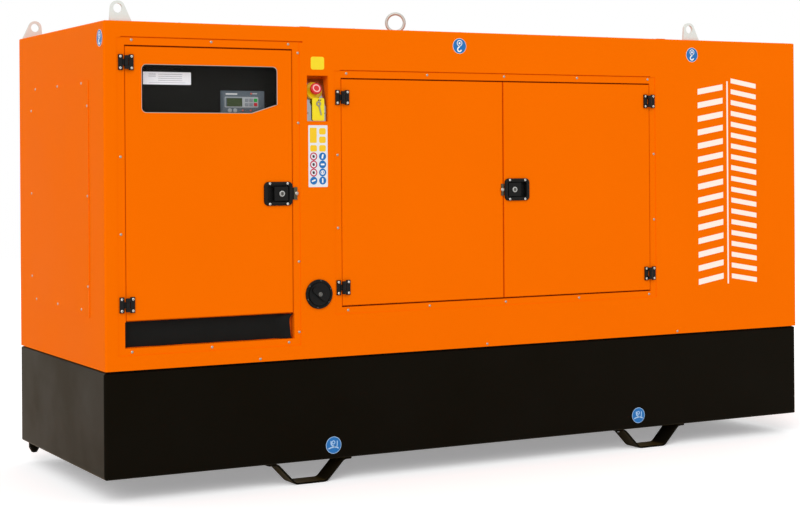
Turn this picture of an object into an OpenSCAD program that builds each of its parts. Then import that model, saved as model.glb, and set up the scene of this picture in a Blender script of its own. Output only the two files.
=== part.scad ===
// Diesel generator in a sound-insulated steel canopy, standing on its fuel-tank base.
// Millimetres, +Z up. The origin is on the floor, under the middle of the set.
// +X runs along the machine, away from the control end. The service side faces -Y.

/* [Canopy] */
// Length of the canopy
canopy_l = 3396; // [3300:1:3600]
// Width of the canopy
canopy_w = 1130; // [1080:1:1250]
// Height of the canopy, roof included
canopy_h = 1332; // [1300:1:1450]
// Thickness of a lined wall panel
wall_t = 34; // [33:1:40]
// Thickness of the roof panel
roof_t = 34; // [30:1:45]
// Radius of the folded outer edges
edge_r = 8; // [4:1:12]
// How far the riveted door frames lie behind the outer skin
frame_step = 2; // [1:0.5:3]
// Sheet thickness of the door frames and door stops
frame_t = 3; // [2:0.5:4]

/* [Base tank] */
// How far the base reaches beyond each end of the canopy
base_over = 2; // [0:1:20]
// How far the base's long sides lie behind the canopy's skin
base_inset = 8; // [0:1:20]
// Height of the base, without its feet
base_h = 410; // [300:1:500]
// Bend radius of the base's plates
base_r = 12; // [6:1:20]
// Height of the sealing strip under the canopy
seal_h = 4; // [3:1:8]

/* [Feet] */
// Height of the feet
foot_h = 92; // [60:1:140]
// Length of a foot where it meets the floor
foot_sole = 170; // [120:1:220]
// Length that each leg of a foot spreads outward
foot_spread = 82; // [50:1:110]
// Width of a foot's flat bar
foot_w = 64; // [40:1:90]
// Thickness of a foot's flat bar
foot_t = 8; // [6:1:12]
// Length of each fixing tab of a foot
foot_tab = 38; // [25:1:50]
// Distance from the middle of the base to the middle of each foot
foot_x = 850; // [700:1:1000]

/* [Control door] */
// Distance from the canopy's left end to the door
ctl_x = 85; // [78:1:90]
// Width of the door
ctl_w = 697; // [685:1:715]
// Height of the door's lower edge above the canopy's lower edge
ctl_z = 189; // [170:1:220]
// Height of the door
ctl_h = 1046; // [1030:1:1060]
// Height of the cable entry below the door
entry_h = 105; // [80:1:130]
// Width of the window
window_w = 569; // [480:1:600]
// Height of the window
window_h = 187; // [130:1:195]
// Distance from the door's hinge edge to the window
window_x = 65; // [50:1:76]
// Distance from the door's lower edge to the window
window_z = 793; // [760:1:830]

/* [Engine doors] */
// Distance from the canopy's left end to the doors
eng_x = 1004; // [998:1:1020]
// Width of each leaf
eng_w = 768; // [755:1:790]
// Height of the doors' lower edge above the canopy's lower edge
eng_z = 205; // [190:1:230]
// Height of the doors
eng_h = 919; // [900:1:950]

/* [Door build] */
// Gap around each door
door_gap = 6; // [6:0.5:8]
// Depth of a door
door_t = 28; // [26:1:28]
// Width of the folded rim inside a door
door_rim = 14; // [10:1:20]
// Depth from a door's rim down to its lining
lining_dip = 4; // [2:0.5:6]
// Thickness of the window pane
pane_t = 4; // [3:0.5:6]
// Width of the pane's edge behind the skin
pane_lap = 12; // [8:1:16]

/* [Hinges] */
// Height of a hinge
hinge_h = 60; // [50:1:70]
// Radius of a hinge's barrel
barrel_r = 8; // [6:0.5:8]
// Radius of a hinge pin
pin_r = 3; // [2:0.5:4]
// Running clearance around a hinge pin
pin_gap = 0.3; // [0.2:0.05:0.5]
// Distance of the pin's axis in front of the skin
pin_out = 9; // [9:0.5:12]
// Distance from a control door's end to its hinges, middle to edge
ctl_hinge_in = 61; // [45:1:80]
// Distance from an engine door's end to its hinges, middle to edge
eng_hinge_in = 74; // [50:1:100]

/* [Latches] */
// Width of a latch housing
latch_w = 123; // [112:1:130]
// Height of a latch housing
latch_h = 94; // [88:1:106]
// Radius of a latch housing's corners
latch_r = 18; // [10:1:24]
// Height of a latch's rim in front of the door
latch_out = 6; // [4:0.5:8]
// Height of the control latch's middle above the door's lower edge
ctl_latch_z = 475; // [300:1:600]
// Height of the engine latch's middle above the doors' lower edge
eng_latch_z = 460; // [300:1:600]
// Distance from a latch housing to the edge of its door
latch_in = 1.5; // [1:0.5:10]
// Side of the square paddle
paddle_w = 60; // [50:1:64]
// Radius of the lock cylinder in the paddle
lock_r = 12; // [8:0.5:13]

/* [Emergency stop and filler] */
// Distance from the canopy's left end to the stop's recess
stop_x = 847; // [835:1:860]
// Height of the recess above the canopy's lower edge
stop_z = 951; // [900:1:980]
// Width of the recess
stop_w = 98; // [90:1:110]
// Height of the recess
stop_h = 188; // [170:1:200]
// Depth of the recess
stop_d = 62; // [55:1:80]
// Lean of the plate in the recess
stop_tilt = 18; // [8:1:18]
// Travel of the stop button
stop_travel = 4; // [3:0.5:5]
// Distance from the canopy's left end to the filler
filler_x = 896; // [870:1:910]
// Height of the filler above the canopy's lower edge
filler_z = 257; // [200:1:400]
// Outer radius of the filler's flange
filler_r = 59; // [54:1:66]

/* [Lifting points] */
// Distance from the canopy's left end to the left pair of lugs
lug_left_x = 64; // [64:1:160]
// Distance from the canopy's left end to the right pair of lugs
lug_right_x = 2789; // [2700:1:2900]
// Distance of the lugs from the canopy's sides
lug_in = 24; // [20:1:60]
// Height of a lug's hole above the roof
lug_hole_z = 49; // [42:1:60]
// Radius of a lug's hole
lug_hole_r = 18; // [12:0.5:20]
// Thickness of a lug
lug_t = 12; // [8:1:16]
// Distance from the canopy's left end to the central lifting eye
eye_x = 1560; // [1500:1:1700]
// Height of the eye's middle above the roof
eye_z = 80; // [70:1:100]
// Inner radius of the eye
eye_r = 33; // [25:1:36]
// Radius of the eye's bar
eye_bar_r = 7; // [6:0.5:9]
// How far the eye is screwed round
eye_turn = 28; // [0:1:90]

/* [Machine inside] */
// Distance from the canopy's left end to the alternator
alternator_x = 900; // [860:1:940]
// Length of the alternator
alternator_l = 560; // [450:1:600]
// Radius of the alternator
alternator_r = 215; // [180:1:240]
// Length of the engine
engine_l = 900; // [800:1:940]
// Height of the crankshaft above the base
shaft_z = 330; // [300:1:360]
// Width of the radiator
radiator_w = 860; // [700:1:960]
// Height of the radiator
radiator_h = 960; // [800:1:1050]
// Distance from the canopy's left end to the radiator
radiator_x = 2610; // [2600:1:2660]
// Depth of the radiator
radiator_d = 90; // [70:1:120]
// Radius of the cooling fan
fan_r = 290; // [240:1:310]
// Radius of the silencer
silencer_r = 115; // [90:1:130]
// Length of the silencer, across the machine
silencer_l = 640; // [500:1:760]

/* [Hidden] */
$fn = 48;
// Fit between pieces that slide into each other
fit = 0.3;
// Overlap that makes a cut break through
cut = 1;
base_l = canopy_l + 2 * base_over;
base_w = canopy_w - 2 * base_inset;
left_x = -canopy_l / 2;
front_y = -canopy_w / 2;
base_z = foot_h;
canopy_z = base_z + base_h + seal_h;
wall_h = canopy_h - roof_t;
roof_z = canopy_z + canopy_h;
roof_under = canopy_z + wall_h;
// Doorways, measured from the canopy's left end and lower edge
ctl_open_x = ctl_x - door_gap;
ctl_open_w = ctl_w + 2 * door_gap;
ctl_open_z = ctl_z - entry_h;
ctl_open_top = ctl_z + ctl_h + door_gap;
eng_open_x = eng_x - door_gap;
eng_open_w = 2 * eng_w + 3 * door_gap;
eng_open_z = eng_z - door_gap;
eng_open_top = eng_z + eng_h + door_gap;
eng_right_x = eng_x + eng_w + door_gap;
// Riveted frames reach this far beyond the doorways, with a joint in the skin along their tops
frame_reach = 28;
joint_h = 4;
joint_d = 7;
// Pin axes: each pin stands this far inside its door's edge, midway between the two leaves
pin_in = 2;
pin_y = front_y - pin_out;
barrel_h = hinge_h - 8;
knuckle_h = barrel_h * 0.46;
knuckle_gap = 1;
leaf_out = 4;
leaf_end = hinge_h / 2;
leaf_start = 12;
// Latch tub
tub_d = 20;
dish_margin = 14;
dish_d = 14;
paddle_gap = 5;
paddle_t = 7;
paddle_pin_r = 2.5;
// Lug outline
lug_head_r = 29;
lug_foot_in = 33;
lug_foot_out = 55;
lug_slope = 32;

// Point on the canopy, from its left end and lower edge
function lx(x) = left_x + x;
function cz(z) = canopy_z + z;

// Rectangle with round corners, its lower left corner at the origin
module round_rect(w, h, r) {
    translate([r, 0]) square([w - 2 * r, h]);
    translate([0, r]) square([w, h - 2 * r]);
    for (x = [r, w - r], y = [r, h - r])
        translate([x, y]) circle(r);
}

// Rectangle whose two lower corners are round, for sheets folded away from the viewer
module folded_rect(w, h, r) {
    translate([r, 0]) square([w - 2 * r, h]);
    translate([0, r]) square([w, h - r]);
    for (x = [r, w - r])
        translate([x, r]) circle(r);
}

// Box placed from the canopy's left end, its front skin and its lower edge
module wall_box(x, depth, z, w, d, h) {
    translate([lx(x), front_y + depth, cz(z)]) cube([w, d, h]);
}

// Outer form of the canopy: every upright corner is folded with edge_r
module canopy_plan(h) {
    translate([left_x, front_y, 0]) linear_extrude(h) round_rect(canopy_l, canopy_w, edge_r);
}

// Shallow pocket in the skin that takes a riveted frame, and the open joint along its top,
// which ends "left" and "right" beyond the doorway
module frame_pocket(x, z, w, h, left, right) {
    wall_box(x - frame_reach, -cut, z - frame_reach, w + 2 * frame_reach,
        cut + frame_step + frame_t, h + 2 * frame_reach);
    wall_box(x - left, -cut, z + h + frame_reach - cut, w + left + right, cut + joint_d, cut + joint_h);
}

module frame_pockets() {
    frame_pocket(ctl_open_x, ctl_open_z, ctl_open_w, ctl_open_top - ctl_open_z, 12, 43);
    frame_pocket(eng_open_x, eng_open_z, eng_open_w, eng_open_top - eng_open_z, 2, 2);
}

// Signed angle from direction a to direction b, left normal of a direction, and a turned vector
function turn_angle(a, b) = atan2(a[0] * b[1] - a[1] * b[0], a[0] * b[0] + a[1] * b[1]);
function left_of(d) = [-d[1], d[0]];
function turned(v, a) = [v[0] * cos(a) - v[1] * sin(a), v[0] * sin(a) + v[1] * cos(a)];

// Flat bar bent along the points p in its side view: thickness t, middle radius r at each bend
module bent_bar(p, t, r, steps = 8) {
    last = len(p) - 1;
    dir = [for (i = [0 : last - 1]) (p[i + 1] - p[i]) / norm(p[i + 1] - p[i])];
    turn = [for (i = [1 : last - 1]) turn_angle(dir[i - 1], dir[i])];
    mid = [for (i = [1 : last - 1])
        p[i] - dir[i - 1] * r * tan(abs(turn[i - 1]) / 2) + sign(turn[i - 1]) * r * left_of(dir[i - 1])];
    function edge(side) = concat([p[0] + side * t / 2 * left_of(dir[0])],
        [for (i = [0 : last - 2], k = [0 : steps])
            mid[i] + turned(left_of(dir[i]), turn[i] * k / steps) * (side * t / 2 - sign(turn[i]) * r)],
        [p[last] + side * t / 2 * left_of(dir[last - 1])]);
    left = edge(1);
    right = edge(-1);
    polygon(concat(left, [for (i = [len(right) - 1 : -1 : 0]) right[i]]));
}

// ---- Base ----

// Distance of the sealing strip from the canopy's sides
seal_in = 14;

module base_tank() {
    color("#151412") {
        intersection() {
            translate([-base_l / 2, -base_w / 2, base_z])
                linear_extrude(base_h) round_rect(base_l, base_w, base_r);
            translate([-base_l / 2, 0, base_z])
                rotate([90, 0, 90]) translate([-base_w / 2, 0])
                    linear_extrude(base_l) round_rect(base_w, base_h, base_r);
            translate([0, base_w / 2, base_z])
                rotate([90, 0, 0]) translate([-base_l / 2, 0])
                    linear_extrude(base_w) round_rect(base_l, base_h, base_r);
        }
        translate([left_x + seal_in, front_y + seal_in, base_z + base_h - cut])
            cube([canopy_l - 2 * seal_in, canopy_w - 2 * seal_in, seal_h + cut]);
    }
}

foot_bend_r = 14;
foot_tab_r = 14;

// One foot: a flat bar bent into a trapezoid, hanging from its two tabs
module foot() {
    sole = foot_sole / 2;
    top = sole + foot_spread;
    low = foot_t / 2;
    high = foot_h - foot_t / 2;
    intersection() {
        rotate([90, 0, 0]) linear_extrude(foot_w, center = true)
            bent_bar([[-top - foot_tab, high], [-top, high], [-sole, low],
                [sole, low], [top, high], [top + foot_tab, high]], foot_t, foot_bend_r);
        translate([-top - foot_tab, -foot_w / 2, -cut])
            linear_extrude(foot_h + 2 * cut) round_rect(2 * (top + foot_tab), foot_w, foot_tab_r);
    }
}

module feet(side) {
    color("#151412")
        for (x = [-foot_x, foot_x])
            translate([x, side * (base_w / 2 - foot_w / 2 - base_r), 0]) foot();
}

module front_feet() { feet(-1); }

module rear_feet() { feet(1); }

// Drain boss and its hexagon plug, near the rear left corner
plug_in = 70;
boss_r = 24;
boss_h = 16;
plug_r = 18;
plug_h = 22;

module drain_plug() {
    color("#2a2a28")
        translate([-base_l / 2 + plug_in, base_w / 2 - plug_in, base_z]) rotate([180, 0, 0]) {
            cylinder(r = boss_r, h = boss_h);
            translate([0, 0, boss_h]) cylinder(r = plug_r, h = plug_h, $fn = 6);
            translate([0, 0, boss_h - 2]) cylinder(r = plug_r + 3, h = 4);
        }
}

// ---- Walls ----

module end_wall(x) {
    translate([x, front_y + wall_t, canopy_z]) cube([wall_t, canopy_w - 2 * wall_t, wall_h]);
}

module left_end_wall() {
    color("#f87000") end_wall(left_x);
}

module right_end_wall() {
    color("#f87000") end_wall(left_x + canopy_l - wall_t);
}

// Bolted cover on each end, folded round its edge
cover_w = 770;
cover_z = 192;
cover_h = 920;
cover_out = 3;

module end_cover(side) {
    translate([side * canopy_l / 2, 0, cz(cover_z)])
        rotate([90, 0, side * 90])
            translate([-cover_w / 2, 0])
                linear_extrude(cover_out) round_rect(cover_w, cover_h, 6);
}

module end_covers() {
    color("#f87000") {
        end_cover(-1);
        end_cover(1);
    }
}

module rear_wall() {
    color("#f87000")
        intersection() {
            difference() {
                translate([left_x, -front_y - wall_t, canopy_z]) cube([canopy_l, wall_t, wall_h]);
                rear_leaf_places() translate([-door_gap, -cut, -door_gap])
                    cube([$leaf_w + 2 * door_gap, cut + door_t, $leaf_h + 2 * door_gap]);
            }
            translate([0, 0, canopy_z - cut]) canopy_plan(wall_h + 2 * cut);
        }
}

// The rear side repeats the front's three leaves, seen from the rear
module rear_leaf_places() {
    rotate([0, 0, 180]) {
        for (leaf = [[eng_x, eng_z, eng_w, eng_h], [eng_right_x, eng_z, eng_w, eng_h]])
            translate([-lx(leaf[0]) - leaf[2], front_y, cz(leaf[1])]) {
                $leaf_w = leaf[2];
                $leaf_h = leaf[3];
                children();
            }
    }
}

module rear_doors() {
    color("#f87000") rear_leaf_places() folded_leaf($leaf_w, $leaf_h, door_t);
}

// ---- Roof ----

// Hot-air chamber between the radiator and the right end wall, and the grille over it
plenum_x = radiator_x + radiator_d;
plenum_l = canopy_l - wall_t - plenum_x;
grille_in = 110;
grille_x = plenum_x + grille_in;
grille_l = plenum_l - 2 * grille_in;
grille_w = 760;
grille_rim = 18;
grille_h = 20;
grille_sunk = 4;
blade_t = 4;
blade_l = 24;
blade_lean = 40;
blade_pitch = 27;

module roof() {
    color("#f87000")
        difference() {
            intersection() {
                translate([0, 0, roof_under]) canopy_plan(roof_t);
                translate([left_x, 0, roof_z - 2 * roof_t])
                    rotate([90, 0, 90]) translate([front_y, 0])
                        linear_extrude(canopy_l) round_rect(canopy_w, 2 * roof_t, edge_r);
                translate([0, -front_y, roof_z - 2 * roof_t])
                    rotate([90, 0, 0]) translate([left_x, 0])
                        linear_extrude(canopy_w) round_rect(canopy_l, 2 * roof_t, edge_r);
            }
            translate([lx(grille_x), -grille_w / 2, roof_under - cut])
                cube([grille_l, grille_w, roof_t + 2 * cut]);
        }
}

// Grille of leaning blades over the hot-air outlet, with a bar under their middle
module roof_grille() {
    inner_l = grille_l - 2 * grille_rim;
    inner_w = grille_w - 2 * grille_rim;
    blades = floor(inner_l / blade_pitch);
    first = (grille_l - (blades - 1) * blade_pitch) / 2;
    color("#1b1b1a")
        translate([lx(grille_x), -grille_w / 2, roof_z - grille_sunk - grille_h]) {
            difference() {
                cube([grille_l, grille_w, grille_h]);
                translate([grille_rim, grille_rim, -cut]) cube([inner_l, inner_w, grille_h + 2 * cut]);
            }
            intersection() {
                cube([grille_l, grille_w, grille_h]);
                for (i = [0 : blades - 1])
                    translate([first + i * blade_pitch, grille_rim - 1, grille_h / 2])
                        rotate([0, blade_lean, 0]) translate([-blade_t / 2, 0, -blade_l / 2])
                            cube([blade_t, inner_w + 2, blade_l]);
            }
            translate([grille_rim - 1, grille_w / 2 - 4, 1]) cube([inner_l + 2, 8, 6]);
        }
}

// ---- Lifting points ----

// Lug in its own plane: one upright edge, one slanting edge and a round head with the hole
module lug() {
    rotate([90, 0, 0]) linear_extrude(lug_t, center = true)
        difference() {
            union() {
                translate([0, lug_hole_z]) circle(lug_head_r);
                polygon([[-lug_foot_in, 0], [lug_foot_out, 0],
                    [lug_head_r * cos(lug_slope), lug_hole_z + lug_head_r * sin(lug_slope)],
                    [-lug_head_r, lug_hole_z]]);
            }
            translate([0, lug_hole_z]) circle(lug_hole_r);
        }
}

module lifting_lugs() {
    color("#b9bdc0")
        for (x = [lug_left_x, lug_right_x], side = [-1, 1])
            translate([lx(x), side * (canopy_w / 2 - lug_in), roof_z])
                rotate([0, 0, side > 0 ? 180 : 0]) lug();
}

module lifting_eye() {
    eye_outer = eye_r + 2 * eye_bar_r;
    color("#b9bdc0")
        translate([lx(eye_x), 0, roof_z]) rotate([0, 0, -eye_turn]) {
            cylinder(r = 45, h = 6);
            cylinder(r = 30, h = 12);
            cylinder(r = 15, h = eye_z - eye_outer + eye_bar_r);
            translate([0, 0, eye_z]) rotate([90, 0, 0])
                rotate_extrude() translate([eye_r + eye_bar_r, 0]) circle(eye_bar_r);
        }
}

// ---- Front side ----

module front_left_post() {
    color("#f87000")
        intersection() {
            difference() {
                wall_box(0, 0, 0, ctl_open_x, wall_t, wall_h);
                frame_pockets();
            }
            translate([0, 0, canopy_z - cut]) canopy_plan(wall_h + 2 * cut);
        }
}

module front_mid_post() {
    post_x = ctl_open_x + ctl_open_w;
    color("#f87000")
        difference() {
            wall_box(post_x, 0, 0, eng_open_x - post_x, wall_t, wall_h);
            frame_pockets();
            wall_box(stop_x, -cut, stop_z, stop_w, wall_t + 2 * cut, stop_h);
            translate([lx(filler_x), front_y - cut, cz(filler_z)]) rotate([-90, 0, 0])
                cylinder(r = filler_neck_r + fit, h = wall_t + 2 * cut);
        }
}

module front_right_panel() {
    panel_x = eng_open_x + eng_open_w;
    color("#f46c00")
        intersection() {
            difference() {
                wall_box(panel_x, 0, 0, canopy_l - panel_x, wall_t, wall_h);
                frame_pockets();
            }
            translate([0, 0, canopy_z - cut]) canopy_plan(wall_h + 2 * cut);
        }
}

module front_headers() {
    color("#f87000")
        difference() {
            union() {
                wall_box(ctl_open_x, 0, ctl_open_top, ctl_open_w, wall_t, wall_h - ctl_open_top);
                wall_box(eng_open_x, 0, eng_open_top, eng_open_w, wall_t, wall_h - eng_open_top);
            }
            frame_pockets();
        }
}

module front_sills() {
    color("#f87000")
        difference() {
            union() {
                wall_box(ctl_open_x, 0, 0, ctl_open_w, wall_t, ctl_open_z);
                wall_box(eng_open_x, 0, 0, eng_open_w, wall_t, eng_open_z);
            }
            frame_pockets();
        }
}

// Flat frame around an opening, "reach" wide
module ring(x, z, w, h, reach, depth, t) {
    difference() {
        wall_box(x - reach, depth, z - reach, w + 2 * reach, t, h + 2 * reach);
        wall_box(x, depth - cut, z, w, t + 2 * cut, h);
    }
}

module control_door_frame() {
    color("#f87000")
        ring(ctl_open_x, ctl_open_z, ctl_open_w, ctl_open_top - ctl_open_z,
            frame_reach, frame_step, frame_t);
}

module engine_door_frame() {
    color("#f87000")
        ring(eng_open_x, eng_open_z, eng_open_w, eng_open_top - eng_open_z,
            frame_reach, frame_step, frame_t);
}

// Flanges behind the doors; the bar across the control doorway carries the curtain
stop_lap = 18;
stop_hold = 14;

module door_stops() {
    color("#f87000") {
        ring(ctl_open_x + stop_lap, ctl_open_z + stop_lap, ctl_open_w - 2 * stop_lap,
            ctl_open_top - ctl_open_z - 2 * stop_lap, stop_lap + stop_hold, wall_t, frame_t);
        wall_box(ctl_open_x, wall_t, ctl_z - 16, ctl_open_w, frame_t, 30);
        ring(eng_open_x + stop_lap, eng_open_z + stop_lap, eng_open_w - 2 * stop_lap,
            eng_open_top - eng_open_z - 2 * stop_lap, stop_lap + stop_hold, wall_t, frame_t);
    }
}

module rubber_curtain() {
    margin = 5;
    curtain_t = 3;
    color("#191a18")
        wall_box(ctl_open_x + margin, wall_t - curtain_t - fit, ctl_open_z + 2,
            ctl_open_w - 2 * margin, curtain_t, entry_h - 8);
}

// ---- Doors ----

// Folded leaf from its lower left corner: skin to -Y, round front edges, lining set in behind
module folded_leaf(w, h, t, r = 3) {
    difference() {
        intersection() {
            linear_extrude(h) folded_rect(w, t, r);
            rotate([90, 0, 90]) translate([0, 0])
                linear_extrude(w) side_profile(t, h, r);
        }
        translate([door_rim, t - lining_dip, door_rim])
            cube([w - 2 * door_rim, lining_dip + cut, h - 2 * door_rim]);
    }
}

// Depth by height, round at the front's upper and lower edge
module side_profile(t, h, r) {
    translate([r, 0]) square([t - r, h]);
    translate([0, r]) square([t, h - 2 * r]);
    for (z = [r, h - r])
        translate([r, z]) circle(r);
}

// Window outline from its lower left corner, with the lower corner at the latch cut off
module window_outline(grow = 0) {
    r = 20;
    chamfer_w = 111;
    chamfer_h = 35;
    difference() {
        translate([-grow, -grow]) round_rect(window_w + 2 * grow, window_h + 2 * grow, r + grow);
        polygon([[window_w - chamfer_w, -grow - cut], [window_w + grow + cut, -grow - cut],
            [window_w + grow + cut, chamfer_h - grow], [window_w - chamfer_w, -grow]]);
    }
}

module window_prism(grow, depth, t) {
    translate([lx(ctl_x + window_x), front_y + depth + t, cz(ctl_z + window_z)])
        rotate([90, 0, 0]) linear_extrude(t) window_outline(grow);
}

// Depth of the skin in front of the pane
skin_t = 3;

module control_door() {
    color("#f87000")
        difference() {
            translate([lx(ctl_x), front_y, cz(ctl_z)]) folded_leaf(ctl_w, ctl_h, door_t);
            window_prism(0, -cut, door_t + 2 * cut);
            window_prism(pane_lap + fit, skin_t, door_t);
            latch_cutout(ctl_latch_x(), ctl_z + ctl_latch_z);
        }
}

module window_pane() {
    color([0.75, 0.8, 0.8, 0.35]) window_prism(pane_lap, skin_t, pane_t);
}

module engine_door_left() {
    color("#f87000")
        translate([lx(eng_x), front_y, cz(eng_z)]) folded_leaf(eng_w, eng_h, door_t);
}

module engine_door_right() {
    color("#f87000")
        difference() {
            translate([lx(eng_right_x), front_y, cz(eng_z)]) folded_leaf(eng_w, eng_h, door_t);
            latch_cutout(eng_latch_x(), eng_z + eng_latch_z);
        }
}

// ---- Hinges ----

// Heights of the hinges above the canopy's lower edge
ctl_hinges = [ctl_z + ctl_hinge_in, ctl_z + ctl_h - ctl_hinge_in];
eng_hinges = [eng_z + eng_hinge_in, eng_z + eng_h - eng_hinge_in];

// Place a hinge: its axis at the origin, the door towards +X, or mirrored for a right-hand hinge
module hinge_at(edge_x, z, hand) {
    translate([lx(edge_x) + hand * pin_in, pin_y, cz(z)])
        if (hand > 0) children();
        else mirror([1, 0, 0]) children();
}

module fixed_hinge() {
    cylinder(r = pin_r, h = barrel_h, center = true);
    cylinder(r = barrel_r, h = knuckle_h, center = true);
    translate([-leaf_start - 1, pin_out - leaf_out - 4, -knuckle_h / 2])
        cube([leaf_start + 1, 7, knuckle_h]);
    translate([-leaf_end, pin_out - leaf_out, -hinge_h / 2])
        cube([leaf_end - leaf_start, leaf_out + frame_step, hinge_h]);
}

module moving_hinge() {
    end_h = (barrel_h - knuckle_h) / 2 - knuckle_gap;
    difference() {
        union() {
            for (side = [-1, 1])
                translate([0, 0, side * (barrel_h / 2 - end_h / 2)]) {
                    cylinder(r = barrel_r, h = end_h, center = true);
                    translate([0, -barrel_r + 2, -end_h / 2])
                        cube([leaf_start + 1, barrel_r - 2 + pin_out - fit, end_h]);
                }
            translate([leaf_start, pin_out - leaf_out - 2, -hinge_h / 2])
                cube([leaf_end - leaf_start, leaf_out + 2, hinge_h]);
        }
        cylinder(r = pin_r + pin_gap, h = hinge_h + 2 * cut, center = true);
        cylinder(r = barrel_r + 1, h = knuckle_h + 2 * knuckle_gap, center = true);
    }
}

module hinge_frame_leaves() {
    color("#1c1c1d") {
        for (z = ctl_hinges) hinge_at(ctl_x, z, 1) fixed_hinge();
        for (z = eng_hinges) {
            hinge_at(eng_x, z, 1) fixed_hinge();
            hinge_at(eng_right_x + eng_w, z, -1) fixed_hinge();
        }
    }
}

module control_door_hinges() {
    color("#1c1c1d") for (z = ctl_hinges) hinge_at(ctl_x, z, 1) moving_hinge();
}

module engine_left_hinges() {
    color("#1c1c1d") for (z = eng_hinges) hinge_at(eng_x, z, 1) moving_hinge();
}

module engine_right_hinges() {
    color("#1c1c1d") for (z = eng_hinges) hinge_at(eng_right_x + eng_w, z, -1) moving_hinge();
}

module rear_hinges() {
    color("#1c1c1d")
        mirror([0, 1, 0])
            for (z = eng_hinges) {
                hinge_at(eng_x, z, 1) { fixed_hinge_flat(); moving_hinge(); }
                hinge_at(eng_right_x + eng_w, z, -1) { fixed_hinge_flat(); moving_hinge(); }
            }
}

// The rear leaves lie in the wall itself, so their fixed hinge leaf ends at the skin
module fixed_hinge_flat() {
    intersection() {
        fixed_hinge();
        translate([-60, -20, -hinge_h / 2]) cube([80, 20 + pin_out, hinge_h]);
    }
}

// ---- Latches ----

// Middle of each latch, from the canopy's left end
function ctl_latch_x() = ctl_x + ctl_w - latch_in - latch_w / 2;
function eng_latch_x() = eng_right_x + latch_in + latch_w / 2;

dish_w = latch_w - 2 * dish_margin;
dish_h = latch_h - 2 * dish_margin;

// Prism with round corners, centred, from depth y0 to y1
module latch_prism(w, h, r, y0, y1) {
    translate([0, y1, 0]) rotate([90, 0, 0])
        translate([-w / 2, -h / 2]) linear_extrude(y1 - y0) round_rect(w, h, r);
}

module latch_cutout(x, z) {
    translate([lx(x), front_y, cz(z)])
        latch_prism(dish_w + 8 + 2 * fit, dish_h + 8 + 2 * fit, 6, -cut, door_t + cut);
}

// Housing with its dish and pin; the paddle lies towards +X
module latch_housing() {
    difference() {
        union() {
            latch_prism(latch_w, latch_h, latch_r, -latch_out, 0);
            latch_prism(dish_w + 8, dish_h + 8, 6, 0, tub_d);
        }
        latch_prism(dish_w, dish_h, 8, -latch_out - cut, dish_d);
    }
    translate([paddle_axis_x, paddle_axis_y, -dish_h / 2 - 2])
        cylinder(r = paddle_pin_r, h = dish_h + 4);
}

paddle_axis_x = dish_w / 2 - paddle_gap - 4.5;
paddle_axis_y = 2;

paddle_h = dish_h - 10;
lock_x = 14;

// Paddle that turns about the pin near its outer edge, with its lock
module latch_paddle() {
    right = dish_w / 2 - paddle_gap;
    difference() {
        union() {
            translate([right - paddle_w, -latch_out + 1, -paddle_h / 2])
                cube([paddle_w, paddle_t, paddle_h]);
            translate([paddle_axis_x, paddle_axis_y, -paddle_h / 2])
                cylinder(r = 4.4, h = paddle_h);
            translate([lock_x, -latch_out + 1, 0]) rotate([90, 0, 0])
                cylinder(r = lock_r, h = 3);
        }
        translate([paddle_axis_x, paddle_axis_y, -paddle_h / 2 - cut])
            cylinder(r = paddle_pin_r + pin_gap, h = paddle_h + 2 * cut);
    }
}

module at_latch(x, z, hand) {
    translate([lx(x), front_y, cz(z)])
        if (hand > 0) children();
        else mirror([1, 0, 0]) children();
}

module control_latch() {
    color("#1c1c1b") at_latch(ctl_latch_x(), ctl_z + ctl_latch_z, 1) latch_housing();
}

module control_paddle() {
    color("#262624") at_latch(ctl_latch_x(), ctl_z + ctl_latch_z, 1) latch_paddle();
}

module engine_latch() {
    color("#1c1c1b") at_latch(eng_latch_x(), eng_z + eng_latch_z, -1) latch_housing();
}

module engine_paddle() {
    color("#262624") at_latch(eng_latch_x(), eng_z + eng_latch_z, -1) latch_paddle();
}

module rear_latches() {
    color("#1c1c1b")
        mirror([0, 1, 0]) at_latch(eng_latch_x(), eng_z + eng_latch_z, -1) {
            latch_prism(latch_w, latch_h, latch_r, -latch_out, 0);
        }
}

keeper_w = 15;
engine_keeper_w = 10;
keeper_h = 50;
keeper_t = 4;

module control_keeper() {
    color("#9a9a98")
        wall_box(ctl_open_x + ctl_open_w, frame_step - keeper_t, ctl_z + ctl_latch_z - keeper_h / 2,
            keeper_w, keeper_t, keeper_h);
}

module engine_keeper() {
    color("#9a9a98")
        wall_box(eng_x + eng_w - engine_keeper_w, -keeper_t, eng_z + eng_latch_z - keeper_h / 2,
            engine_keeper_w, keeper_t, keeper_h);
}

// ---- Emergency stop ----

pocket_t = 2;

// Tray let into the post, open to the front
module stop_pocket() {
    color("#e86400")
        difference() {
            wall_box(stop_x + fit, 0, stop_z + fit, stop_w - 2 * fit, stop_d, stop_h - 2 * fit);
            wall_box(stop_x + fit + pocket_t, -cut, stop_z + fit + pocket_t,
                stop_w - 2 * (fit + pocket_t), stop_d + cut - pocket_t,
                stop_h - 2 * (fit + pocket_t));
        }
}

plate_t = 3;
plate_in = 12;
plate_head = 14;
plate_bend = 64;
plate_lift = 2 * fit + pocket_t;
plate_l = (stop_h - plate_bend - plate_head) / cos(stop_tilt);

// Frame of the plate's leaning part: the origin on its front face at the bend, +Z up along it
module on_plate() {
    translate([lx(stop_x + stop_w / 2), front_y + plate_in + plate_t / 2, cz(stop_z) + plate_bend])
        rotate([-stop_tilt, 0, 0]) translate([0, -plate_t / 2, 0]) children();
}

// Middle of the button on the leaning plate, left of the recess's middle line
button_x = -7;
button_z = 62;
button_hole_r = 11;

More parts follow.
